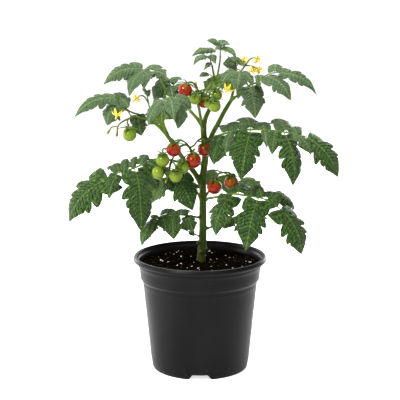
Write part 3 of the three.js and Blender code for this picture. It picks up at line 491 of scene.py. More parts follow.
def ease(value, low, high):
    """0 below low, 1 above high and a soft S between."""
    x = np.clip((np.asarray(value, float) - low) / (high - low), 0, 1)
    return x * x * (3 - 2 * x)


def bell(x, width):
    """1 where x is 0, and nearly nothing from two widths away on."""
    return np.exp(-((x / width) ** 2))


def lens(s, start, power):
    """Width of a pointed shape at s, from 0 to 1. The higher its start, the wider its foot."""
    return np.sin(np.pi * np.clip(start + (1 - start) * s, 0, 1)) ** power


def turned(v, axis, angle):
    """v turned about an axis, for one angle or for a column of angles."""
    v, axis = np.asarray(v, float), np.asarray(axis, float)
    along = axis * (v @ axis)
    return along + (v - along) * np.cos(angle) + np.cross(axis, v) * np.sin(angle)


def across_to(v):
    """A unit vector at right angles to v."""
    return unit(np.cross((0, 0, 1) if abs(v[2]) < 0.9 else (1, 0, 0), v))


def spokes_round(way, count, turn):
    """Directions at right angles to way, evenly spread from a first turn."""
    first = across_to(way)
    return [turned(first, way, turn + 2 * np.pi * k / count) for k in range(count)]


def turns_of(sides):
    """The angles of so many sides, all the way round."""
    return np.arange(sides) * 2 * np.pi / sides


def course(places, per_run=7):
    """Points of a smooth curve through the places, the same number on each run."""
    p = np.array(places, float)
    p = np.vstack([2 * p[0] - p[1], p, 2 * p[-1] - p[-2]])
    v = (np.arange(per_run) / per_run)[:, None]
    runs = [
        0.5 * (2 * b + (c - a) * v + (2 * a - 5 * b + 4 * c - d) * v**2 + (3 * b - a - 3 * c + d) * v**3)
        for a, b, c, d in zip(p[:-3], p[1:-2], p[2:-1], p[3:])
    ]
    return np.vstack([*runs, p[-2:-1]])


def spot(curve, t):
    """The point of a curve a share t of the way along it."""
    steps = np.arange(len(curve))
    return np.array([np.interp(t * steps[-1], steps, curve[:, k]) for k in range(3)])


def part_way(pair, share):
    """The value a share of the way from the first of a pair to the second."""
    return pair[0] + (pair[1] - pair[0]) * share


def in_scene(name, data):
    """A new object in the scene."""
    thing = bpy.data.objects.new(name, data)
    bpy.context.scene.collection.objects.link(thing)
    return thing


# ---------------------------------------------------------------- closed forms
class Form:
    """Closed surfaces in the making, in millimetres, with the values painted on their points."""

    def __init__(self):
        self.points = []
        self.faces = []
        self.paint = {}
        self.count = 0

    def add(self, points, faces, **paint):
        self.points.append(np.asarray(points, float))
        self.faces.extend([[v + self.count for v in face] for face in faces])
        for name, values in paint.items():
            self.paint.setdefault(name, []).append(np.broadcast_to(values, len(points)))
        self.count += len(points)

    def mesh(self, name):
        """All the surfaces as one mesh, in metres."""
        mesh = bpy.data.meshes.new(name)
        mesh.from_pydata((np.concatenate(self.points) / 1000).tolist(), [], self.faces)
        for paint, values in self.paint.items():
            mesh.attributes.new(paint, "FLOAT", "POINT").data.foreach_set("value", np.concatenate(values))
        mesh.validate()
        return mesh


def frames_along(points):
    """Two cross directions and the way at each point of a course, which turn with it and never flip."""
    ways = np.gradient(points, axis=0)
    ways /= np.linalg.norm(ways, axis=1)[:, None]
    side = across_to(ways[0])
    sides = []
    for way in ways:
        side = unit(side - way * (side @ way))
        sides.append(side)
    sides = np.array(sides)
    return sides, np.cross(ways, sides), ways


def ring_faces(rings, sides):
    """Quads between rings of points, outwards when the rings run along their own axis."""
    return [
        (i * sides + j, i * sides + (j + 1) % sides, (i + 1) * sides + (j + 1) % sides, (i + 1) * sides + j)
        for i in range(rings - 1) for j in range(sides)
    ]


def closed_faces(rings, sides):
    """The same, closed by one point before the first ring and one past the last. Both of these
    come after the rings."""
    top, first = (rings - 1) * sides, rings * sides
    faces = ring_faces(rings, sides)
    faces += [(first, (j + 1) % sides, j) for j in range(sides)]
    faces += [(first + 1, top + j, top + (j + 1) % sides) for j in range(sides)]
    return faces


def inside_out(faces):
    return [tuple(reversed(face)) for face in faces]


def add_tube(form, points, radii, sides=10, groove=0.0, **paint):
    """A round stalk with rounded ends. `groove` sinks a channel along its upper side."""
    points = np.asarray(points, float)
    radii = np.broadcast_to(radii, len(points)).astype(float)
    back, ahead = unit(points[0] - points[1]), unit(points[-1] - points[-2])
    before, after = points[0] + back * radii[0] * END_RING, points[-1] + ahead * radii[-1] * END_RING
    points = np.vstack([before, points, after])
    radii = np.concatenate([[radii[0] * END_RADIUS], radii, [radii[-1] * END_RADIUS]])
    side, other, ways = frames_along(points)
    turns = turns_of(sides)
    spokes = side[:, None] * np.cos(turns)[None, :, None] + other[:, None] * np.sin(turns)[None, :, None]
    upward = UP - ways * (ways @ UP)[:, None]
    facing = np.clip(np.einsum("ijk,ik->ij", spokes, upward), 0, 1)
    reach = radii[:, None] * (1 - groove * facing**4)
    rings = points[:, None] + spokes * reach[..., None]
    ends = [points[0] + back * radii[0] * END_POINT, points[-1] + ahead * radii[-1] * END_POINT]
    form.add(np.vstack([rings.reshape(-1, 3), ends]), closed_faces(len(points), sides), **paint)


def add_sheet(form, grid, up, thickness, tip, **paint):
    """A thin closed sheet that ends in a tip, from a grid of points, rows by columns. Columns run to
    the right of the rows' way and `up` gives the upper side at each point. A value painted is the
    same all over, or one for each point of the grid and then the tip's. `face` is 1 on top."""
    rows, columns = grid.shape[:2]
    upper = np.vstack([grid.reshape(-1, 3), tip])
    raised = np.vstack([up.reshape(-1, 3), up[-1, -1]])
    count = len(upper)
    at = np.arange(rows * columns).reshape(rows, columns).tolist()
    faces = [
        (at[i][j], at[i][j + 1], at[i + 1][j + 1], at[i + 1][j])
        for i in range(rows - 1) for j in range(columns - 1)
    ]
    faces += [(at[-1][j], at[-1][j + 1], count - 1) for j in range(columns - 1)]
    faces += [tuple(v + count for v in face) for face in inside_out(faces)]
    rim = at[0] + [row[-1] for row in at[1:]] + [count - 1] + [row[0] for row in at[:0:-1]]
    faces += [(b, a, a + count, b + count) for a, b in zip(rim, rim[1:] + rim[:1])]
    shown = {name: np.tile(np.broadcast_to(values, count), 2) for name, values in paint.items()}
    shown["face"] = np.repeat([1.0, 0.0], count)
    form.add(np.vstack([upper, upper - raised * thickness]), faces, **shown)


def add_strip(form, spine, ups, widths, thickness, cup, **paint):
    """A narrow pointed sheet along a spine. `cup` lifts its margins as a share of its half width."""
    spine, ups = np.asarray(spine, float), np.asarray(ups, float)
    rights = np.cross(np.gradient(spine, axis=0), ups)
    rights /= np.linalg.norm(rights, axis=1)[:, None]
    x = np.linspace(-1, 1, 5)
    wide = np.asarray(widths, float)[:-1, None] * x
    lift = cup * np.abs(wide) * np.abs(x)
    grid = spine[:-1, None] + rights[:-1, None] * wide[..., None] + ups[:-1, None] * lift[..., None]
    add_sheet(form, grid, np.broadcast_to(ups[:-1, None], grid.shape), thickness, spine[-1], **paint)


def plain(body):
    """What an object's modifiers make of it, as a plain mesh. The object itself goes."""
    graph = bpy.context.evaluated_depsgraph_get()
    mesh = bpy.data.meshes.new_from_object(body.evaluated_get(graph), depsgraph=graph)
    body.modifiers.clear()
    bpy.data.objects.remove(body)
    return mesh


def modified(name, mesh, *modifiers):
    """A mesh put through modifiers, each given as [kind, settings]."""
    body = in_scene(name, mesh)
    for kind, settings in modifiers:
        modifier = body.modifiers.new(kind.title(), kind)
        for key, value in settings.items():
            setattr(modifier, key, value)
    return plain(body)


def set_piece(name, mesh, finish, slot, *nodes, crease=180):
    """A finished piece on the root body, which stands for the named solids. Edges that turn by more
    than the crease, in degrees, stay sharp."""
    mesh.shade_smooth()
    mesh.set_sharp_from_angle(angle=math.radians(crease))
    mesh.materials.clear()
    mesh.materials.append(finish)
    piece = in_scene(name, mesh)
    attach(piece, "root")
    if nodes:
        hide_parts(*nodes)
    return piece


def make_piece(name, form, finish, slot, *nodes, crease=50):
    """The same, from a form."""
    return set_piece(name, form.mesh(name), finish, slot, *nodes, crease=crease)


# ---------------------------------------------------------------- leaves
def outline_marks(outline, seed):
    """[place on the rib, reach] of the points that the edge of one half passes: the foot, each
    lobe with the notch past it, and the ogive that ends the blade."""
    marks = [(STALK_END, FOOT_REACH), (STALK_END + FOOT_LENGTH, outline["shoulder"])]
    for i, (place, reach, notch) in enumerate(outline["lobes"]):
        tip = place + between(*LOBE_SHIFTS, seed, i)
        reach = reach * between(*LOBES_VARY, seed, i + 20)
        notch = notch * between(*NOTCHES_VARY, seed, i + 30)
        marks += [(tip + past, reach * share + notch * (1 - share)) for past, share in LOBE]
    start = marks[-1][0]
    for share, left in OGIVE:
        marks.append((start + (1 - start) * share, left ** outline["sharpness"] * outline["end"]))
    return np.array(marks).T


def side_reach(u, marks):
    """Reach of one half where the side veins from each place u on the rib meet its edge. It swells
    where it rises towards a lobe, and runs straight from mark to mark elsewhere."""
    places, reaches = marks
    last_notch = len(places) - len(OGIVE) - 1
    run = np.clip(np.searchsorted(places, u, side="right") - 1, 0, len(places) - 2)
    x = (u - places[run]) / (places[run + 1] - places[run])
    swells = (reaches[run + 1] > reaches[run]) & (run < last_notch)
    x = np.where(swells, 1 - (1 - x) ** LOBE_SWELL, x)
    return reaches[run] * (1 - x) + reaches[run + 1] * x


def youth_and_light(height, width):
    """How new a leaflet looks: those near the top do, and so do narrow ones in the upper half. The leaf
    finish gives them a pale grey-green tint that is partly the paler colour of new leaves and partly
    painted sheen of the light on the upper leaves. Leaflets lower down, which lie more in shade, get less
    of it.
    """
    narrow = np.clip((32 - width) / 22, 0, 1)
    return float(max(0.85 * ease(height, 310, 360), narrow * (0.35 + 0.65 * ease(height, 240, 360))))


def add_leaflet(blades, stalks, base, tip, width, look, seed):
    """One leaflet from its place on the leaf's stalk to its tip, with its rib and own short stalk."""
    base, tip = np.array(base, float), np.array(tip, float)
    length = np.linalg.norm(tip - base)
    forward = unit(tip - base)
    facing = np.array(FACING[look], float)
    normal = unit(facing - forward * (facing @ forward))
    across = np.cross(forward, normal)
    half = FULL * width / 2
    arch = ARCH + RISE * max(0.0, normal[2])
    bow = BOW * length * across[2] + SWAY * length * between(-1, 1, seed, 41)
    twist = TWIST * between(-1, 1, seed, 40)
    fall = FALL * between(*FALL_VARIES, seed, 42)

    def surface(along, out, lift):
        """The place, and the upper side there, at shares of the length and of the half width."""
        turn = (twist * (along - 0.5))[..., None]
        side, up = turned(across, forward, turn), turned(normal, forward, turn)
        rise = length * (4 * arch * along * (1 - along) - NOD * ease(along, 0.7, 1) ** 2)
        height = rise - fall * half * np.abs(out) ** 1.5 + BLADE / 2 + lift
        sideways = out * half + bow * np.sin(np.pi * along)
        place = base + forward * (along * length)[..., None] + side * sideways[..., None]
        return place + up * height[..., None], up

    # Rows follow the side veins, from the rib forwards to the edge, and one starts at every mark.
    # Panels puff up between the veins, and teeth and waves run along the edge.
    outline = next(kind for kind in OUTLINES if length > kind["over"])
    marks = [outline_marks(outline, seed + part / 2) for part in (0, 1)]
    fixed = np.unique(np.concatenate([places[:-1] for places, _ in marks]))
    rows = int(np.clip(length, FEWEST_ROWS, MOST_ROWS))
    even = np.linspace(STALK_END, 1, rows)[:-1]
    rib = np.sort([*(u for u in even if np.abs(fixed - u).min() > ROOM / rows), *fixed])
    x = np.linspace(0, 1, next(count for over, count in COLUMNS if width > over) + 1)
    number = (rib - STALK_END) * (VEINS + length / VEIN_GAP)
    forwards = (1 + LEAN_BACK) * ease(rib, STALK_END, 0.3) - LEAN_BACK
    lean = min(MOST_SLANT, SLANT * half / length) * forwards
    halves = []
    for part, sign in enumerate((1, -1)):
        reach = side_reach(rib, marks[part])
        teeth = 0.5 - np.abs((number + chance(seed + part, 43)) % 1 - 0.4)
        reach = (reach * (1 + TOOTH * teeth * (1 - ease(rib, 0.9, 1))))[:, None]
        along = rib[:, None] + lean[:, None] * reach * x**VEIN_BEND
        veins = np.broadcast_to(number[:, None], along.shape)
        panel = np.abs(np.sin(np.pi * veins)) ** 0.7 * (np.sin(np.pi * x**0.8) + 0.2 * x)
        wave = np.sin(np.pi * veins / 2 + WHOLE_TURN * chance(seed + part, 44)) * x**3
        lift = PUFF * width**0.5 * panel * (1 - 0.6 * rib[:, None]) + RUFFLE * width * wave * reach
        halves.append((along, sign * reach * x, lift, veins))
    along, out, lift, veins = (np.hstack([left[:, :0:-1], right]) for right, left in zip(*halves))
    grid, up = surface(along, out, lift)
    apex, _ = surface(np.array([1.0]), np.array([0.0]), np.array([0.0]))
    add_sheet(
        blades, grid, up, BLADE, apex, vein=np.append(veins, veins[-1, 0]),
        rib=np.append(np.abs(out) * half, 0), tone=chance(seed, 45), young=youth_and_light(tip[2], width),
    )
    run = np.linspace(0, RIB_END, RIB_POINTS)
    spine, _ = surface(run, 0 * run, 0 * run - RIB_SINK)
    swell = 1 + RIB_SWELL * np.exp(-run * length / RIB_SWELL_FADE)
    add_tube(stalks, spine, (RIB_RADIUS + RIB_PER_MM * width) * (1 - RIB_TAPER * run) * swell, RIB_SIDES)


def make_leaf(number, name, radii, places, leaflets):
    """A compound leaf: one piece for its blades, and one for its stalk and ribs."""
    blades, stalks = Form(), Form()
    curve = course(places)
    run = np.linspace(0, 1, len(curve))
    from_foot = run * np.linalg.norm(np.diff(curve, axis=0), axis=1).sum()
    swell = 1 + LEAF_SWELL * np.exp(-from_foot / LEAF_SWELL_FADE)
    add_tube(stalks, curve, part_way(radii, run) * swell, groove=LEAF_GROOVE)
    for i, (t, tip, width, look) in enumerate(leaflets):
        add_leaflet(blades, stalks, spot(curve, t), tip, width, look, number + i / 16)
    make_piece(name + ".blades", blades, LEAF, "leaf", name)
    make_piece(name + ".stalk", stalks, STALK, "green_stalk", name)


# ---------------------------------------------------------------- fruits, flowers and trusses
def dimpled(angle):
    """Distance of a fruit's skin from its middle, in radii, at an angle from its crown."""
    return 1 - DIMPLE * bell(angle, DIMPLE_WIDTH)


def add_calyx(form, middle, way, radius, seed):
    """Thin pointed sepals that follow the fruit's shoulder and lift off it towards their tips."""
    s = np.linspace(0, 1, STRIP_POINTS)
    width = SEPAL_WIDTH * lens(s, 0.2, 0.7) * (1 - 0.4 * s)
    for k, spoke in enumerate(spokes_round(way, SEPALS, WHOLE_TURN * chance(seed, 0))):
        spoke = turned(spoke, way, between(*SEPAL_TURNS, seed, k + 1))
        angle = SEPAL_START + between(*SEPAL_SPANS, seed, k + 11) * s
        lift = 0.25 + 1.4 * s + between(*SEPAL_LIFTS, seed, k + 51) * s**1.6
        reach = (radius * dimpled(angle) + lift)[:, None]
        outwards = way * np.cos(angle)[:, None] + spoke * np.sin(angle)[:, None]
        add_strip(form, middle + outwards * reach, outwards, width, SEPAL_THICKNESS, cup=0.35)


def make_fruit(name, crown_way, seed):
    """A fruit turned about its crown, with a dimple there and a faint point at its nose."""
    middle, radius, colour = FRUITS[name]
    polar = np.linspace(0, np.pi, FRUIT_RINGS + 2)[1:-1]
    side = across_to(crown_way)
    other = np.cross(crown_way, side)
    spin = turns_of(FRUIT_SIDES)
    chambers = np.cos(CHAMBERS * spin + WHOLE_TURN * chance(seed, 5))
    shoulders = 1 + CHAMBER_BULGE * chambers[None] * np.sin(polar)[:, None] ** 0.5

    def reach(angle):
        return radius * PLUMP * (dimpled(angle) + NOSE * bell(np.pi - angle, NOSE_WIDTH))

    spread = (reach(polar) * np.sin(polar))[:, None] * shoulders
    rise = (reach(polar) * np.cos(polar) * SQUAT)[:, None] * np.ones(FRUIT_SIDES)
    ball = (
        np.array(middle, float) + crown_way * rise[..., None]
        + side * (spread * np.cos(spin))[..., None] + other * (spread * np.sin(spin))[..., None]
    )
    poles = [middle + crown_way * reach(0.0) * SQUAT, middle - crown_way * reach(np.pi) * SQUAT]
    form = Form()
    form.add(
        np.vstack([ball.reshape(-1, 3), poles]), inside_out(closed_faces(FRUIT_RINGS, FRUIT_SIDES)),
        crown=np.append(np.repeat(polar / np.pi, FRUIT_SIDES), [0, 1]), tone=chance(seed, 6),
        streak_x=np.append(np.tile(np.cos(spin), FRUIT_RINGS), [0, 0]),
        streak_y=np.append(np.tile(np.sin(spin), FRUIT_RINGS), [0, 0]),
    )
    make_piece(name + ".skin", form, FRUIT_FINISHES[colour], colour + "_fruit", name)


def make_flower(name, stalk_end, seed):
    """Pointed petals swept back from a cone of stamens, with small sepals behind them. `out` and
    `drop` say how far petals and sepals run outwards from the flower's middle and back behind it."""
    look, petal = FLOWERS[name]
    way = unit(look)
    middle = stalk_end + way * FLOWER_REACH
    yellow, green = Form(), Form()
    s = np.linspace(0, 1, STRIP_POINTS)
    cone = middle + way * (-0.6 + CONE_LENGTH * petal * s)[:, None]
    cone_radii = CONE_RADIUS * petal * np.interp(s, [0, 0.25, 0.7, 1], [0.6, 0.82, 0.62, 0.2])
    add_tube(yellow, cone, cone_radii, CONE_SIDES, cone=1.0, face=1.0)
    wide = PETAL_WIDTH * petal * lens(s, 0.2, 0.8)
    turn = WHOLE_TURN * chance(seed, 0)
    for k, spoke in enumerate(spokes_round(way, PETALS, turn)):
        bend = between(*PETAL_BENDS, seed, k + 1)
        out = petal * (0.12 + 0.86 * s - 0.1 * s**3)
        drop = petal * (0.06 - bend * 0.55 * s**2.2)
        ups = way + spoke * (0.9 * bend * s)[:, None]
        ups /= np.linalg.norm(ups, axis=1)[:, None]
        spine = middle + spoke * out[:, None] + way * drop[:, None]
        add_strip(yellow, spine, ups, wide, PETAL_THICKNESS, cup=0.3, cone=0.0)
    narrow = FLOWER_SEPAL_WIDTH * petal * lens(s, 0.3, 0.6)
    for spoke in spokes_round(way, SEPALS, turn + np.pi / PETALS):
        out = petal * (0.08 + 0.6 * s)
        drop = petal * (-0.06 - 0.35 * s**1.6)
        spine = middle + spoke * out[:, None] + way * drop[:, None]
        add_strip(green, spine, np.broadcast_to(way, spine.shape), narrow, PETAL_THICKNESS, cup=0.3)
    add_tube(green, [stalk_end - way * 0.6, middle - way * 0.2], [0.75, 1.15], face=1.0)
    make_piece(name + ".petals", yellow, PETAL, "petal", name)
    make_piece(name + ".sepals", green, STALK, "green_stalk", name)


def add_bud(green, yellow, end, way, seed):
    """A long closed bud: a green cup, sepals that hug it and the yellow tip of the petals."""
    s = np.linspace(0, 1, BUD_POINTS)
    parts = (BUD_CUP, BUD_PETALS, BUD_SEPALS)
    cup, petals, middle = (end + way * part_way(reach, s)[:, None] for reach in parts)
    add_tube(green, cup, np.interp(s, [0, 0.3, 0.7, 1], [0.7, 1.45, 1.5, 0.9]), face=1.0)
    add_tube(yellow, petals, np.interp(s, [0, 0.4, 1], [1.1, 1.25, 0.25]), cone=0.35, face=1.0)
    wide = BUD_SEPAL_WIDTH * lens(s, 0.25, 0.7)
    for k, spoke in enumerate(spokes_round(way, SEPALS, WHOLE_TURN * chance(seed, 0))):
        out = 1.35 + 0.35 * np.sin(np.pi * s) + between(*BUD_OPENS, seed, k + 1) * s**2
        spine = middle + spoke * out[:, None]
        add_strip(green, spine, np.broadcast_to(spoke, spine.shape), wide, BUD_SEPAL_THICKNESS, cup=-0.3)


def make_truss(name, stalks, seed):
    """A truss or spray with the fruits, flowers and buds that its stalks bear."""
    green, yellow, crowns = Form(), Form(), Form()
    for i, (radii, places, bears) in enumerate(stalks):
        end = np.array(places[-1], float)
        way = unit(end - places[-2])
        mark = seed + i / 8
        if bears in FRUITS:
            middle, radius, _ = FRUITS[bears]
            way = unit(unit(end - middle) + TILT)
            radius *= PLUMP
            places = [*places, (middle + way * radius * STALK_DEPTH).tolist()]
            add_calyx(crowns, np.array(middle, float), way, radius, mark)
            make_fruit(bears, way, mark)
        curve = course(places)
        run = np.linspace(0, 1, len(curve))
        knee = KNEE * bell(run - KNEE_PLACE, KNEE_WIDTH) if i else 0 * run
        swell = 1 + knee + CROWN_SWELL * ease(run, 0.85, 1)
        add_tube(green, curve, THICK * part_way(radii, run) * swell, TRUSS_SIDES, face=1.0)
        if bears in FLOWERS:
            make_flower(bears, end, mark)
        elif bears == "bud":
            add_bud(green, yellow, end, way, mark)
    make_piece(name + ".stalks", green, TRUSS, "green_stalk", name)
    if crowns.count:
        make_piece(name + ".calyces", crowns, CALYX, "green_stalk", name)
    if yellow.count:
        make_piece(name + ".buds", yellow, PETAL, "petal", name)


# ---------------------------------------------------------------- main stem
def make_stem():
    """All the stems grown into one, with a swelling under each leaf and truss and old leaf scars."""
    form = Form()
    curves = []
    for name, ends, places in STEMS:
        curve = course(places)
        radii = part_way(ends, np.linspace(0, 1, len(curve)))
        if name == "main":
            radii = radii + FLARE * np.exp(-np.maximum(curve[:, 2] - FLARE_FROM, 0) / FLARE_FADE)
        add_tube(form, curve, radii, STEM_SIDES)
        curves.append((curve, radii))
    feet = [(radii[0], places[:2]) for _, radii, places, _ in LEAVES]
    feet += [(stalks[0][0][0], stalks[0][1][:2]) for _, stalks in TRUSSES]
    x, y = SCAR_MIDDLE
    for z, turn in SCARS:
        out = [x + SCAR_REACH * math.cos(turn), y - SCAR_REACH * math.sin(turn), z + SCAR_RISE]
        feet.append((SCAR_RADIUS, [[x, y, z], out]))
    for radius, (foot, beyond) in feet:
        way = unit(np.subtract(beyond, foot))
        curve, thick = min(curves, key=lambda stem: np.linalg.norm(stem[0] - foot, axis=1).min())
        nearest = np.linalg.norm(curve - foot, axis=1).argmin()
        reach = thick[nearest] + COLLAR_REACH * radius
        collar = curve[nearest] + way * np.linspace(0, reach, len(COLLAR))[:, None]
        add_tube(form, collar, radius * COLLAR, COLLAR_SIDES)
    mesh = modified(
        "stem", form.mesh("stem"),
        ["REMESH", {"mode": "VOXEL", "voxel_size": STEM_VOXEL, "use_smooth_shade": True}],
        ["SMOOTH", {"factor": 0.5, "iterations": 5}],
    )
    return set_piece("stem.bark", mesh, STEM, "stem", "stem")


# ---------------------------------------------------------------- pot and soil
def arc(middle, radius, start, end, steps=5):
    """Points of a rounding in the profile, angles in degrees from straight outwards."""
    turns = np.radians(np.linspace(start, end, steps))
    return [(middle[0] + radius * math.cos(a), middle[1] + radius * math.sin(a)) for a in turns]


def slope(start, end, first, steps):
    """Points of a straight stretch of the profile, from a first share of its way to its end."""
    return [tuple(part_way(pair, t) for pair in zip(start, end)) for t in np.linspace(first, 1, steps)]


def pot_profile():
    """[radius, height] from the middle of the underside, out and up over the lip and down inside."""
    underside = [(0, 0), (14, 0), (28, 0), *arc((41, 1), 1, -90, 0), (43.4, 5.7), (44.4, 6.5), (52, 6.5)]
    foot_ring = [(61.6, 6.5), (62.4, 5.7), *arc((64.2, 1), 1, 180, 270), *arc((66.6, 2.2), 2.2, -90, -6)]
    body = slope((69.6, 3), (81.2, 121.6), 0.02, 16)
    step = [(81.5, 122.4), (81.6, 123.2), (81.45, 124), (81.6, 126.6), (82, 127.8), (83.6, 129.6)]
    collar = [
        (84.8, 131), (85.2, 132.2), (85.6, 138), (86, 143), (86.5, 148.2), (86.9, 148.9),
        (87.8, 149.4), (88.2, 150.2), (88.2, 153.6), (88.4, 154.8), (89.4, 155.7),
    ]
    lip = [
        *arc((92, 159), 3, -100, 60, 11), *arc((92.2, 161.6), 1.4, 40, 110, 4),
        *arc((90.6, 161.6), 1.4, 100, 178), (89, 159.4), (88.3, 157.6), (87.2, 156.8),
    ]
    collar_inside = [(86.8, 156), (86.2, 150), (84.8, 140), (83.5, 131)]
    step_inside = [(82.6, 128.6), (80.2, 125.6), (78.9, 123.4), (78.3, 121)]
    body_inside = slope((78.3, 121), (67.9, 11.5), 0.1, 10)
    floor = [(66.8, 9.6), (65, 8.9), (52, 8.9), (42.6, 8.9), (40.4, 2.4), (20, 2.4), (0, 2.4)]
    outside = [*underside, *foot_ring, *body, *step, *collar]
    return np.array([*outside, *lip, *collar_inside, *step_inside, *body_inside, *floor], float)


def ring(radius, height, turns):
    """Points round the pot's axis, at one height or at one for each."""
    return np.stack([radius * np.sin(turns), -radius * np.cos(turns), height + 0 * turns], axis=1)


def make_pot():
    """A moulded pot whose foot ring is cut by drain notches, with holes over the ring's channel."""
    profile = pot_profile()
    turns = turns_of(POT_SIDES)
    apart = 2 * np.pi / NOTCH["count"]
    from_notch = np.abs(np.degrees((turns + apart / 2) % apart - apart / 2))
    lift = FOOT_RING["height"] * (1 - ease(from_notch, NOTCH["half_top"], NOTCH["half_foot"]))
    rings = []
    for i, (r, z) in enumerate(profile[1:-1]):
        outside = r > FOOT_RING["inner"] and z < FOOT_RING["fade"] and i < len(profile) / 2 - 1
        room = 1 - z / FOOT_RING["fade" if r > FOOT_RING["crest"] else "height"]
        rings.append(ring(r, z + lift * max(0, room) if outside else z, turns))
    form = Form()
    poles = [[0, 0, profile[0, 1]], [0, 0, profile[-1, 1]]]
    form.add(np.vstack([*rings, poles]), closed_faces(len(rings), POT_SIDES))
    holes = Form()
    for x, y, _ in ring(DRAIN_HOLE["from_middle"], 0, (np.arange(NOTCH["count"]) + 0.5) * apart):
        along = [(x, y, z) for z in DRAIN_HOLE["heights"]]
        add_tube(holes, along, DRAIN_HOLE["radius"], DRAIN_HOLE["sides"])
    cutter = in_scene("holes", holes.mesh("holes"))
    mesh = modified("pot", form.mesh("pot"), ["BOOLEAN", {"operation": "DIFFERENCE", "object": cutter}])
    bpy.data.objects.remove(cutter)
    set_piece("pot.shell", mesh, POT_PLASTIC, "pot_plastic", "pot", crease=40)


def soil_height(x, y):
    """Height of the lumpy top of the soil, which is smoother where it meets the pot."""
    share = math.hypot(x, y) / SOIL["edge"]
    lumps = math.sin(x * 0.21 + 1.3) * math.cos(y * 0.24 - 0.6)
    lumps += 0.6 * math.sin(x * 0.47 - y * 0.39) + 0.4 * math.cos(x * 0.83 + y * 0.71)
    broad = SOIL["level"] + SOIL["heap"] * (1 - share**2) + SOIL["lump"] * lumps * (1 - 0.5 * share**2)
    fine = MOUND * math.exp(-((x - 1) ** 2 + y**2) / MOUND_SPREAD)
    for size, height, slice_, smoothness, gap, octaves in CRUMBLE:
        fine += noise.fractal(Vector((x, y, slice_)) / size, smoothness, gap, octaves) * height
    return broad + fine * (1 - 0.8 * ease(share, 0.9, 1))


def make_soil():
    """The soil that fills the pot. The mesh handed back is the top of it that things lie on."""
    sides = SOIL["sides"]
    turns = turns_of(sides)
    radii = SOIL["edge"] * np.linspace(1, 0, SOIL["rings"] + 1)[:-1]
    tops = [ring(r, np.array([soil_height(x, y) for x, y, _ in ring(r, 0, turns)]), turns) for r in radii]
    walls = [ring(r, z, turns) for r, z in SOIL_WALL]
    form, top = Form(), Form()
    poles = [[0, 0, SOIL["foot"]], [0, 0, soil_height(0, 0)]]
    form.add(np.vstack([*walls, *tops, poles]), closed_faces(len(walls) + len(tops), sides))
    make_piece("soil.bed", form, SOIL_MIX, "potting_soil", "soil", crease=180)
    inner, outer = STREWN_OVER
    inside = [places for places, r in zip(tops, radii) if inner < r < outer]
    top.add(np.vstack(inside), ring_faces(len(inside), sides))
    return top.mesh("soil_top")


# ---------------------------------------------------------------- nodes
def feed(tree, socket, value):
    """Sets a socket to a value, or links it when the value is an output of another node."""
    if isinstance(value, bpy.types.NodeSocket):
        tree.links.new(value, socket)
    else:
        socket.default_value = value


def add_node(tree, kind, inputs, settings):
    """A new node. Its settings come first, since they decide which sockets it has."""
    made = tree.nodes.new(kind)
    for key, value in settings.items():
        setattr(made, key, value)
    for socket, value in inputs.items():
        feed(tree, made.inputs[socket], value)
    return made


# ---------------------------------------------------------------- finishes
def seen(r, g, b):
    """A colour given as it looks on a screen, 0 to 255, as the linear colour that shaders use."""
    return (*[(v / 255 / 12.92) if v < 10.3 else ((v / 255 + 0.055) / 1.055) ** 2.4 for v in (r, g, b)], 1)


class Finish:
    """A material in the making. Each call adds one node and gives back its output."""

    def __init__(self, name, **fixed):
        self.material = bpy.data.materials.new(name)
        self.material.use_nodes = True
        self.tree = self.material.node_tree
        self.shader = self.tree.nodes["Principled BSDF"].inputs
        for socket, value in fixed.items():
            feed(self.tree, self.shader[socket.replace("_", " ")], value)
        self.object_place = self.tree.nodes.new("ShaderNodeTexCoord").outputs["Object"]

    def node(self, kind, inputs, output=0, **settings):
        return add_node(self.tree, "ShaderNode" + kind, inputs, settings).outputs[output]

    def paint(self, name):
        return self.node("Attribute", {}, output="Fac", attribute_name=name)

    def maths(self, operation, a, b):
        return self.node("Math", {0: a, 1: b}, operation=operation)

    def times(self, a, b):
        return self.maths("MULTIPLY", a, b)

    def flip(self, value):
        """What is missing from 1."""
        return self.maths("SUBTRACT", 1.0, value)

    def swing(self, value, height):
        """A value that lies round 0.5 as one round 0, so many times as high."""
        return self.times(self.maths("SUBTRACT", value, 0.5), height)

    def spread(self, value, low, high, to_low=0.0, to_high=1.0):
        """Value from low to high, with soft ends, as to_low to to_high."""
        inputs = {"Value": value, "From Min": low, "From Max": high, "To Min": to_low, "To Max": to_high}
        return self.node("MapRange", inputs, interpolation_type="SMOOTHSTEP")

    def vector(self, x, y, z):
        return self.node("CombineXYZ", {"X": x, "Y": y, "Z": z})

    def height(self):
        """Height above the pot's foot, in metres."""
        return self.node("SeparateXYZ", {"Vector": self.object_place}, output="Z")

    def lengthwise(self, squeeze):
        """The place with its height squeezed, which draws patterns out upwards."""
        return self.node("Mapping", {"Vector": self.object_place, "Scale": (1, 1, squeeze)})

    def grain(self, scale, detail, place=None, roughness=0.55):
        """Cloudy noise, `scale` cells to a metre unless a place of its own is given."""
        place = place or self.object_place
        inputs = {"Vector": place, "Scale": scale, "Detail": detail, "Roughness": roughness}
        return self.node("TexNoise", inputs)

    def cells(self, scale, feature, place=None):
        """Cells that fit together, as a distance from their edges or from their middles."""
        place = place or self.object_place
        return self.node("TexVoronoi", {"Vector": place, "Scale": scale}, feature=feature)

    def blend(self, share, a, b):
        """Colour a with a share of colour b. A mix node has its colours in sockets 6 and 7."""
        return self.node("Mix", {0: share, 6: a, 7: b}, output=2, data_type="RGBA")

    def bump(self, height, depth, strength, under=None):
        """Relief `depth` metres deep where height goes from 0 to 1, on top of an earlier relief."""
        earlier = {"Normal": under} if under else {}
        return self.node("Bump", {"Height": height, "Strength": strength, "Distance": depth, **earlier})

    def finish(self, colour, roughness, relief):
        for socket, value in (("Base Color", colour), ("Roughness", roughness), ("Normal", relief)):
            feed(self.tree, self.shader[socket], value)
        return self.material


DOWNY = {"Sheen_Roughness": 0.4, "Sheen_Tint": (0.85, 0.95, 0.8, 1)}


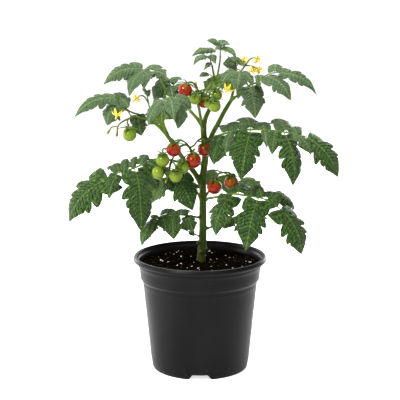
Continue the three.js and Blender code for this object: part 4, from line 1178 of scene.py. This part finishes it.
def leaf_finish():
    """Deep green blades with pale sunken veins, puckered between them, and paler backs. The puckers carry a
    painted highlight and the creases between them painted shade, both fainter on new leaflets. New leaflets
    also get a pale tint that is partly their own colour and partly painted sheen.
    """
    f = Finish("leaf", Sheen_Weight=0.08, Specular_IOR_Level=0.12, **DOWNY)
    vein, rib, tone, face, young = [f.paint(n) for n in ("vein", "rib", "tone", "face", "young")]
    place = f.vector(f.times(vein, 4.0), rib, f.times(tone, 50))
    off_vein = f.times(f.maths("PINGPONG", vein, 0.5), 2.0)
    side_vein = f.flip(f.spread(off_vein, 0.0, 0.1))
    main_vein = f.flip(f.spread(rib, 0.35, 1.0))
    veins = f.maths("MAXIMUM", main_vein, f.times(side_vein, 0.06))
    net = f.spread(f.cells(0.25, "DISTANCE_TO_EDGE", place), 0.02, 0.36)
    pucker = f.grain(0.45, 3.0, place)
    loose = f.maths("ADD", off_vein, f.swing(pucker, 3.0))
    quilt = f.maths("ADD", f.times(f.spread(loose, 0.0, 0.6), 0.4), f.times(net, 0.6))
    patches = f.spread(f.grain(38, 3.0), 0.3, 0.7)
    grown = f.flip(f.times(young, 0.7))
    green = f.blend(patches, seen(28, 56, 6), seen(39, 68, 11))
    # painted highlight: the tops of the puckers are lighter green, as where they catch the light
    green = f.blend(f.times(grown, f.spread(pucker, 0.46, 0.66)), green, seen(80, 108, 45))
    green = f.blend(f.times(tone, 0.35), green, seen(46, 84, 24))
    # partly painted sheen: a pale grey-green tint on new and upper leaflets, partly their own paler colour
    # and partly the sheen of the light on them
    green = f.blend(f.times(young, 0.5), green, seen(78, 86, 71))
    # painted shade: dark green in the creases of the quilted relief and along the side veins, where shade
    # falls
    green = f.blend(f.times(f.times(f.flip(quilt), 0.8), grown), green, seen(8, 26, 0))
    green = f.blend(f.times(veins, 0.32), green, seen(112, 138, 76))
    back = f.blend(f.times(veins, 0.7), seen(84, 108, 56), seen(136, 154, 92))
    back = f.blend(f.times(patches, 0.4), back, seen(98, 122, 66))
    relief = f.bump(f.times(quilt, grown), 0.0018, 0.9)
    relief = f.bump(f.times(pucker, grown), 0.0020, 0.9, relief)
    return f.finish(f.blend(face, back, green), f.spread(pucker, 0.2, 0.8, 0.4, 0.58), relief)


def stalk_finish(name, dark, light):
    """Green stalks, faintly streaked and downy."""
    f = Finish(name, Specular_IOR_Level=0.12, Sheen_Weight=0.03, **DOWNY)
    streaks = f.grain(160, 3.0)
    green = f.blend(f.spread(streaks, 0.3, 0.7), dark, light)
    relief = f.bump(f.grain(1400, 2.0), 0.0003, 0.5)
    return f.finish(green, f.spread(streaks, 0.2, 0.8, 0.45, 0.6), relief)


def stem_finish():
    """Olive stem with fine ridges along it, browner and scurfy just above the soil."""
    f = Finish("stem", Specular_IOR_Level=0.1, Sheen_Weight=0.02, **DOWNY)
    ridges = f.grain(900, 3.0, f.lengthwise(0.06))
    patches = f.grain(90, 4.0)
    height = f.height()
    low = f.flip(f.spread(height, 0.148, 0.2))
    green = f.blend(f.spread(ridges, 0.3, 0.7), seen(38, 52, 6), seen(70, 88, 20))
    green = f.blend(f.spread(patches, 0.4, 0.75, 0.0, 0.5), green, seen(60, 80, 16))
    green = f.blend(f.times(low, f.spread(patches, 0.3, 0.65, 0.15, 0.75)), green, seen(64, 54, 24))
    green = f.blend(f.spread(height, 0.3, 0.44, 0.0, 0.75), green, seen(84, 106, 34))
    relief = f.bump(ridges, 0.0007, 0.5)
    relief = f.bump(f.grain(700, 3.0), 0.0004, 0.4, relief)
    return f.finish(green, f.spread(ridges, 0.2, 0.8, 0.42, 0.6), relief)


def fruit_finish(name, shoulder, side, nose, flecks, roughness):
    """Glossy skin whose colour runs from the shoulder to the nose, with pale flecks and faint streaks."""
    f = Finish(
        name, Coat_Weight=0.3, Coat_Roughness=0.05, Subsurface_Weight=0.1, Subsurface_Scale=0.003,
        Specular_IOR_Level=0.04,
    )
    crown, tone = f.paint("crown"), f.paint("tone")
    along = f.maths("ADD", f.times(crown, 0.5), tone)
    streaks = f.grain(4.5, 3.0, f.vector(f.paint("streak_x"), f.paint("streak_y"), along))
    down = f.maths("ADD", crown, f.swing(f.grain(55, 2.0), 0.35))
    skin = f.blend(f.spread(down, 0.1, 0.44), shoulder, side)
    skin = f.blend(f.spread(down, 0.55, 0.95), skin, nose)
    skin = f.blend(f.times(f.spread(streaks, 0.5, 0.8), 0.08), skin, flecks)
    specks = f.flip(f.spread(f.cells(1300, "F1"), 0.05, 0.2))
    skin = f.blend(f.times(specks, 0.07), skin, flecks)
    relief = f.bump(f.grain(220, 2.0), 0.0004, 0.35)
    return f.finish(skin, f.spread(streaks, 0.2, 0.8, roughness, roughness + 0.12), relief)


def petal_finish():
    """Yellow petals and a deeper yellow cone of stamens."""
    f = Finish("petal", Sheen_Weight=0.2, Subsurface_Weight=0.1, Subsurface_Scale=0.002)
    patches = f.grain(420, 3.0)
    yellow = f.blend(f.spread(patches, 0.3, 0.7), seen(192, 166, 10), seen(212, 192, 40))
    yellow = f.blend(f.spread(f.paint("cone"), 0.2, 0.9), yellow, seen(196, 160, 10))
    relief = f.bump(f.grain(1500, 2.0), 0.0003, 0.4)
    return f.finish(yellow, f.spread(patches, 0.2, 0.8, 0.45, 0.6), relief)


def pot_finish():
    """Charcoal moulded plastic with a faint satin grain, and a dusting of soil near its foot."""
    f = Finish("pot_plastic", Specular_IOR_Level=0.07)
    flow = f.grain(24, 4.0, f.lengthwise(0.35))
    dust = f.times(f.spread(f.grain(260, 5.0), 0.56, 0.72), 0.35)
    black = f.blend(f.spread(flow, 0.3, 0.7), seen(7, 7, 8), seen(13, 13, 14))
    black = f.blend(f.times(dust, f.spread(f.height(), 0.03, 0.0)), black, seen(70, 64, 56))
    relief = f.bump(f.grain(1500, 3.0), 0.0002, 0.35)
    relief = f.bump(flow, 0.0012, 0.15, relief)
    return f.finish(black, f.spread(flow, 0.25, 0.75, 0.34, 0.42), relief)


def mottled_finish(name, dark, light, scale, depth):
    """Dull stuff, mottled between two colours, with relief so many metres deep."""
    f = Finish(name, Specular_IOR_Level=0.0)
    lumps = f.grain(scale, 6.0, roughness=0.7)
    colour = f.blend(f.spread(lumps, 0.35, 0.7), dark, light)
    return f.finish(colour, f.spread(lumps, 0.3, 0.7, 0.85, 1.0), f.bump(lumps, depth, 0.9))


LEAF = leaf_finish()
STALK = stalk_finish("green_stalk", seen(46, 72, 10), seen(84, 108, 34))
CALYX = stalk_finish("calyx_green", seen(30, 48, 3), seen(64, 88, 20))
TRUSS = stalk_finish("truss_stalk", seen(44, 62, 8), seen(88, 108, 30))
STEM = stem_finish()
HAIR = mottled_finish("down", seen(76, 92, 34), seen(128, 140, 84), 900, 0.0001)
PETAL = petal_finish()
POT_PLASTIC = pot_finish()
SOIL_MIX = mottled_finish("potting_soil", seen(3, 2, 1), seen(15, 12, 7), 420, 0.0015)
CRUMB = mottled_finish("soil_crumb", seen(3, 3, 2), seen(17, 14, 8), 700, 0.0008)
BARK = mottled_finish("bark_chip", seen(15, 10, 5), seen(44, 32, 16), 900, 0.0006)
FIBRE = mottled_finish("soil_fibre", seen(48, 37, 18), seen(100, 82, 52), 900, 0.0004)
PERLITE = mottled_finish("perlite", seen(196, 190, 172), seen(246, 244, 236), 1300, 0.0005)
FRUIT_COLOURS = {          # of the shoulder, side, nose and flecks, and then the roughness
    "red": [(128, 50, 2), (112, 20, 0), (84, 8, 0), (160, 60, 16), 0.22],
    "orange": [(104, 66, 2), (118, 50, 2), (104, 32, 2), (156, 88, 26), 0.22],
    "green": [(48, 70, 6), (92, 110, 24), (112, 130, 44), (154, 166, 88), 0.24],
}
FRUIT_FINISHES = {
    colour: fruit_finish(colour + "_fruit", *[seen(*shade) for shade in shades], roughness)
    for colour, (*shades, roughness) in FRUIT_COLOURS.items()
}


# ---------------------------------------------------------------- what is strewn or grows in numbers
GRAIN_SIZES = ("Per Square Metre", "Smallest", "Largest", "Thickness", "Raggedness", "Seed")
STREWN = [                 # name, finish, facets and those sizes, in metres but for the thickness
    ("crumbs", CRUMB, 1, (150000.0, 0.0009, 0.0048, 0.75, 0.0009, 1)),
    ("bark", BARK, 1, (11000.0, 0.0016, 0.0072, 0.3, 0.0008, 2)),
    ("fibres", FIBRE, 1, (26000.0, 0.0007, 0.0034, 0.35, 0.0004, 3)),
    ("perlite", PERLITE, 2, (6000.0, 0.0005, 0.0033, 0.85, 0.0009, 4)),
]
FEW_LARGE = 2.5            # the higher, the fewer grains are large
RAGGED_CELLS = 620.0       # to a metre, of the noise that makes grains ragged
HAIRS = {"Per Square Metre": 260000.0, "Radius": 0.00006, "Shortest": 0.0005, "Longest": 0.0013, "Seed": 3}
HAIR_SINK = 0.05           # share of a hair that stands in the stem
GRAIN_TILT, HAIR_TILT = 0.5, 0.35
FULL_TURN = 6.28           # in radians, as the tilts are


class Growth:
    """A Geometry Nodes tree in the making, with an input for each named size. It starts with points
    strewn over a surface. Each call adds nodes and gives back an output."""

    def __init__(self, name, sizes):
        self.tree = bpy.data.node_groups.new(name, "GeometryNodeTree")
        self.sockets = {}
        face = self.tree.interface
        face.new_socket("Surface", in_out="INPUT", socket_type="NodeSocketGeometry")
        for label, value in sizes.items():
            kind = "NodeSocketInt" if isinstance(value, int) else "NodeSocketFloat"
            self.sockets[label] = face.new_socket(label, in_out="INPUT", socket_type=kind).identifier
        face.new_socket("Grown", in_out="OUTPUT", socket_type="NodeSocketGeometry")
        self.given = self.tree.nodes.new("NodeGroupInput").outputs
        self.result = self.tree.nodes.new("NodeGroupOutput").inputs[0]
        labels = {"Mesh": "Surface", "Density": "Per Square Metre", "Seed": "Seed"}
        inputs = {socket: self.given[label] for socket, label in labels.items()}
        self.points = add_node(self.tree, "GeometryNodeDistributePointsOnFaces", inputs, {}).outputs

    def node(self, kind, inputs, output=0, **settings):
        return add_node(self.tree, kind, inputs, settings).outputs[output]

    def maths(self, operation, *values):
        return self.node("ShaderNodeMath", dict(enumerate(values)), operation=operation)

    def random(self, low, high, seed):
        """Another number between low and high for each point. The node keeps the sockets of vectors
        first and those of numbers after them."""
        if isinstance(low, tuple):
            limits, output, kind = {0: low, 1: high}, 0, "FLOAT_VECTOR"
        else:
            limits, output, kind = {2: low, 3: high}, 1, "FLOAT"
        return self.node("FunctionNodeRandomValue", {**limits, "Seed": seed}, output, data_type=kind)

    def tilt(self, most, seed):
        """A tilt of at most so much to each side, and any turn about the upright."""
        return self.random((-most, -most, 0.0), (most, most, FULL_TURN), seed)

    def placed(self, thing, rotation, scale):
        """A copy of the thing on each point."""
        copies = self.node("GeometryNodeInstanceOnPoints", {
            "Points": self.points["Points"], "Instance": thing, "Rotation": rotation, "Scale": scale,
        })
        return self.node("GeometryNodeRealizeInstances", {"Geometry": copies})

    def end(self, geometry, finish):
        """Puts out the geometry in its finish, and gives back the whole tree."""
        done = self.node("GeometryNodeSetMaterial", {"Geometry": geometry, "Material": finish})
        self.tree.links.new(done, self.result)
        return self


def grow(name, surface, growth, sizes, finish, slot):
    """Runs a tree on a surface with its named sizes and keeps the result as a plain piece."""
    host = in_scene(name + "_host", surface)
    modifier = host.modifiers.new("grow", "NODES")
    modifier.node_group = growth.tree
    for label, value in sizes.items():
        modifier[growth.sockets[label]] = value
    return set_piece(name, plain(host), finish, slot)


def strew(name, surface, finish, facets, sizes):
    """Irregular grains strewn over a surface and half sunk in it, with few of them large."""
    tree = Growth(name + "_tree", sizes)
    grain = tree.node("GeometryNodeMeshIcoSphere", {"Radius": 0.5, "Subdivisions": facets})
    share = tree.maths("POWER", tree.random(0.0, 1.0, 11), FEW_LARGE)
    spare = tree.maths("SUBTRACT", tree.given["Largest"], tree.given["Smallest"])
    long = tree.maths("MULTIPLY_ADD", share, spare, tree.given["Smallest"])
    thin = tree.maths("MULTIPLY", long, tree.given["Thickness"])
    shape = tree.node("ShaderNodeCombineXYZ", {"X": long, "Y": thin, "Z": thin})
    grains = tree.placed(grain, tree.tilt(GRAIN_TILT, 12), shape)
    place = tree.node("GeometryNodeInputPosition", {})
    cloud = {"Vector": place, "Scale": RAGGED_CELLS, "Detail": 1.0}
    rough = tree.node("ShaderNodeTexNoise", cloud, output="Color")
    centred = tree.node("ShaderNodeVectorMath", {0: rough, 1: (0.5, 0.5, 0.5)}, operation="SUBTRACT")
    raggedness = {0: centred, "Scale": tree.given["Raggedness"]}
    push = tree.node("ShaderNodeVectorMath", raggedness, operation="SCALE")
    ragged = tree.node("GeometryNodeSetPosition", {"Geometry": grains, "Offset": push})
    grow("soil." + name, surface.copy(), tree.end(ragged, finish), sizes, finish, "potting_soil")


def grow_hairs(surface, sizes):
    """Short fine hairs standing on a surface, leaning a little each its own way."""
    tree = Growth("hairs", sizes)
    cone = {"Vertices": 3, "Radius Top": 0.0, "Radius Bottom": tree.given["Radius"], "Depth": 1.0}
    hair = tree.node("GeometryNodeMeshCone", cone)
    sunk = tree.node("GeometryNodeTransform", {"Geometry": hair, "Translation": (0.0, 0.0, -HAIR_SINK)})
    upright = {"Rotation": tree.points["Rotation"], "Rotate By": tree.tilt(HAIR_TILT, 21)}
    turn = tree.node("FunctionNodeRotateRotation", upright, rotation_space="LOCAL")
    long = tree.random(tree.given["Shortest"], tree.given["Longest"], 22)
    size = tree.node("ShaderNodeCombineXYZ", {"X": 1.0, "Y": 1.0, "Z": long})
    grow("stem.hairs", surface.copy(), tree.end(tree.placed(sunk, turn, size), HAIR), sizes, HAIR, "stem")


# ---------------------------------------------------------------- camera, light and floor
def soft_light(name, place, target, wide, high, power):
    """A rectangle of light that shines at its target and isn't seen itself."""
    light = bpy.data.lights.new(name, "AREA")
    light.shape = "RECTANGLE"
    light.size, light.size_y = wide, high
    light.energy = power
    lamp = in_scene(name, light)
    lamp.location = place
    lamp.visible_camera = False
    lamp.rotation_euler = (Vector(target) - lamp.location).to_track_quat("-Z", "Y").to_euler()


def make_floor():
    """A pale floor that sweeps up into a low backdrop far away on every side."""
    turns = turns_of(FLOOR_SIDES)
    places = [(out * math.cos(a), out * math.sin(a), up) for out, up in SWEEP for a in turns]
    mesh = bpy.data.meshes.new("floor")
    sweep = inside_out(ring_faces(len(SWEEP), FLOOR_SIDES))
    mesh.from_pydata(places, [], [tuple(range(FLOOR_SIDES)), *sweep])
    floor = in_scene("floor", mesh)
    grey = seen(FLOOR_GREY, FLOOR_GREY, FLOOR_GREY)
    pale = Finish("floor", Base_Color=grey, Roughness=0.9, Emission_Color=(1, 1, 1, 1))
    away = pale.node("VectorMath", {"Vector": pale.object_place}, output="Value", operation="LENGTH")
    feed(pale.tree, pale.shader["Emission Strength"], pale.spread(away, *FLOOR_GLOW))
    mesh.materials.append(pale.material)


camera = in_scene("camera", bpy.data.cameras.new("camera"))
camera.location = CAMERA_PLACE
camera.rotation_euler = (math.radians(90 - CAMERA_PITCH), 0, 0)
camera.data.sensor_width = SENSOR
camera.data.lens = FOCAL_PIXELS / PICTURE * SENSOR
camera.data.clip_end = 200
bpy.context.scene.camera = camera

world = bpy.data.worlds.new("studio")
world.use_nodes = True
sky = world.node_tree.nodes["Background"].inputs
sky["Color"].default_value = (1, 1, 1, 1)
sky["Strength"].default_value = WORLD_LIGHT
bpy.context.scene.world = world
bpy.context.scene.view_settings.view_transform = "Standard"

for light in LIGHTS:
    soft_light(*light)
make_floor()

# ---------------------------------------------------------------- the plant, piece by piece
make_pot()
soil_top = make_soil()
for name, finish, facets, values in STREWN:
    strew(name, soil_top, finish, facets, dict(zip(GRAIN_SIZES, values)))
bark = make_stem()
grow_hairs(bark.data, HAIRS)
for number, (name, radii, places, leaflets) in enumerate(LEAVES):
    make_leaf(number + 1, name, radii, places, leaflets)
for number, (name, stalks) in enumerate(TRUSSES):
    make_truss(name, stalks, 100 + number)
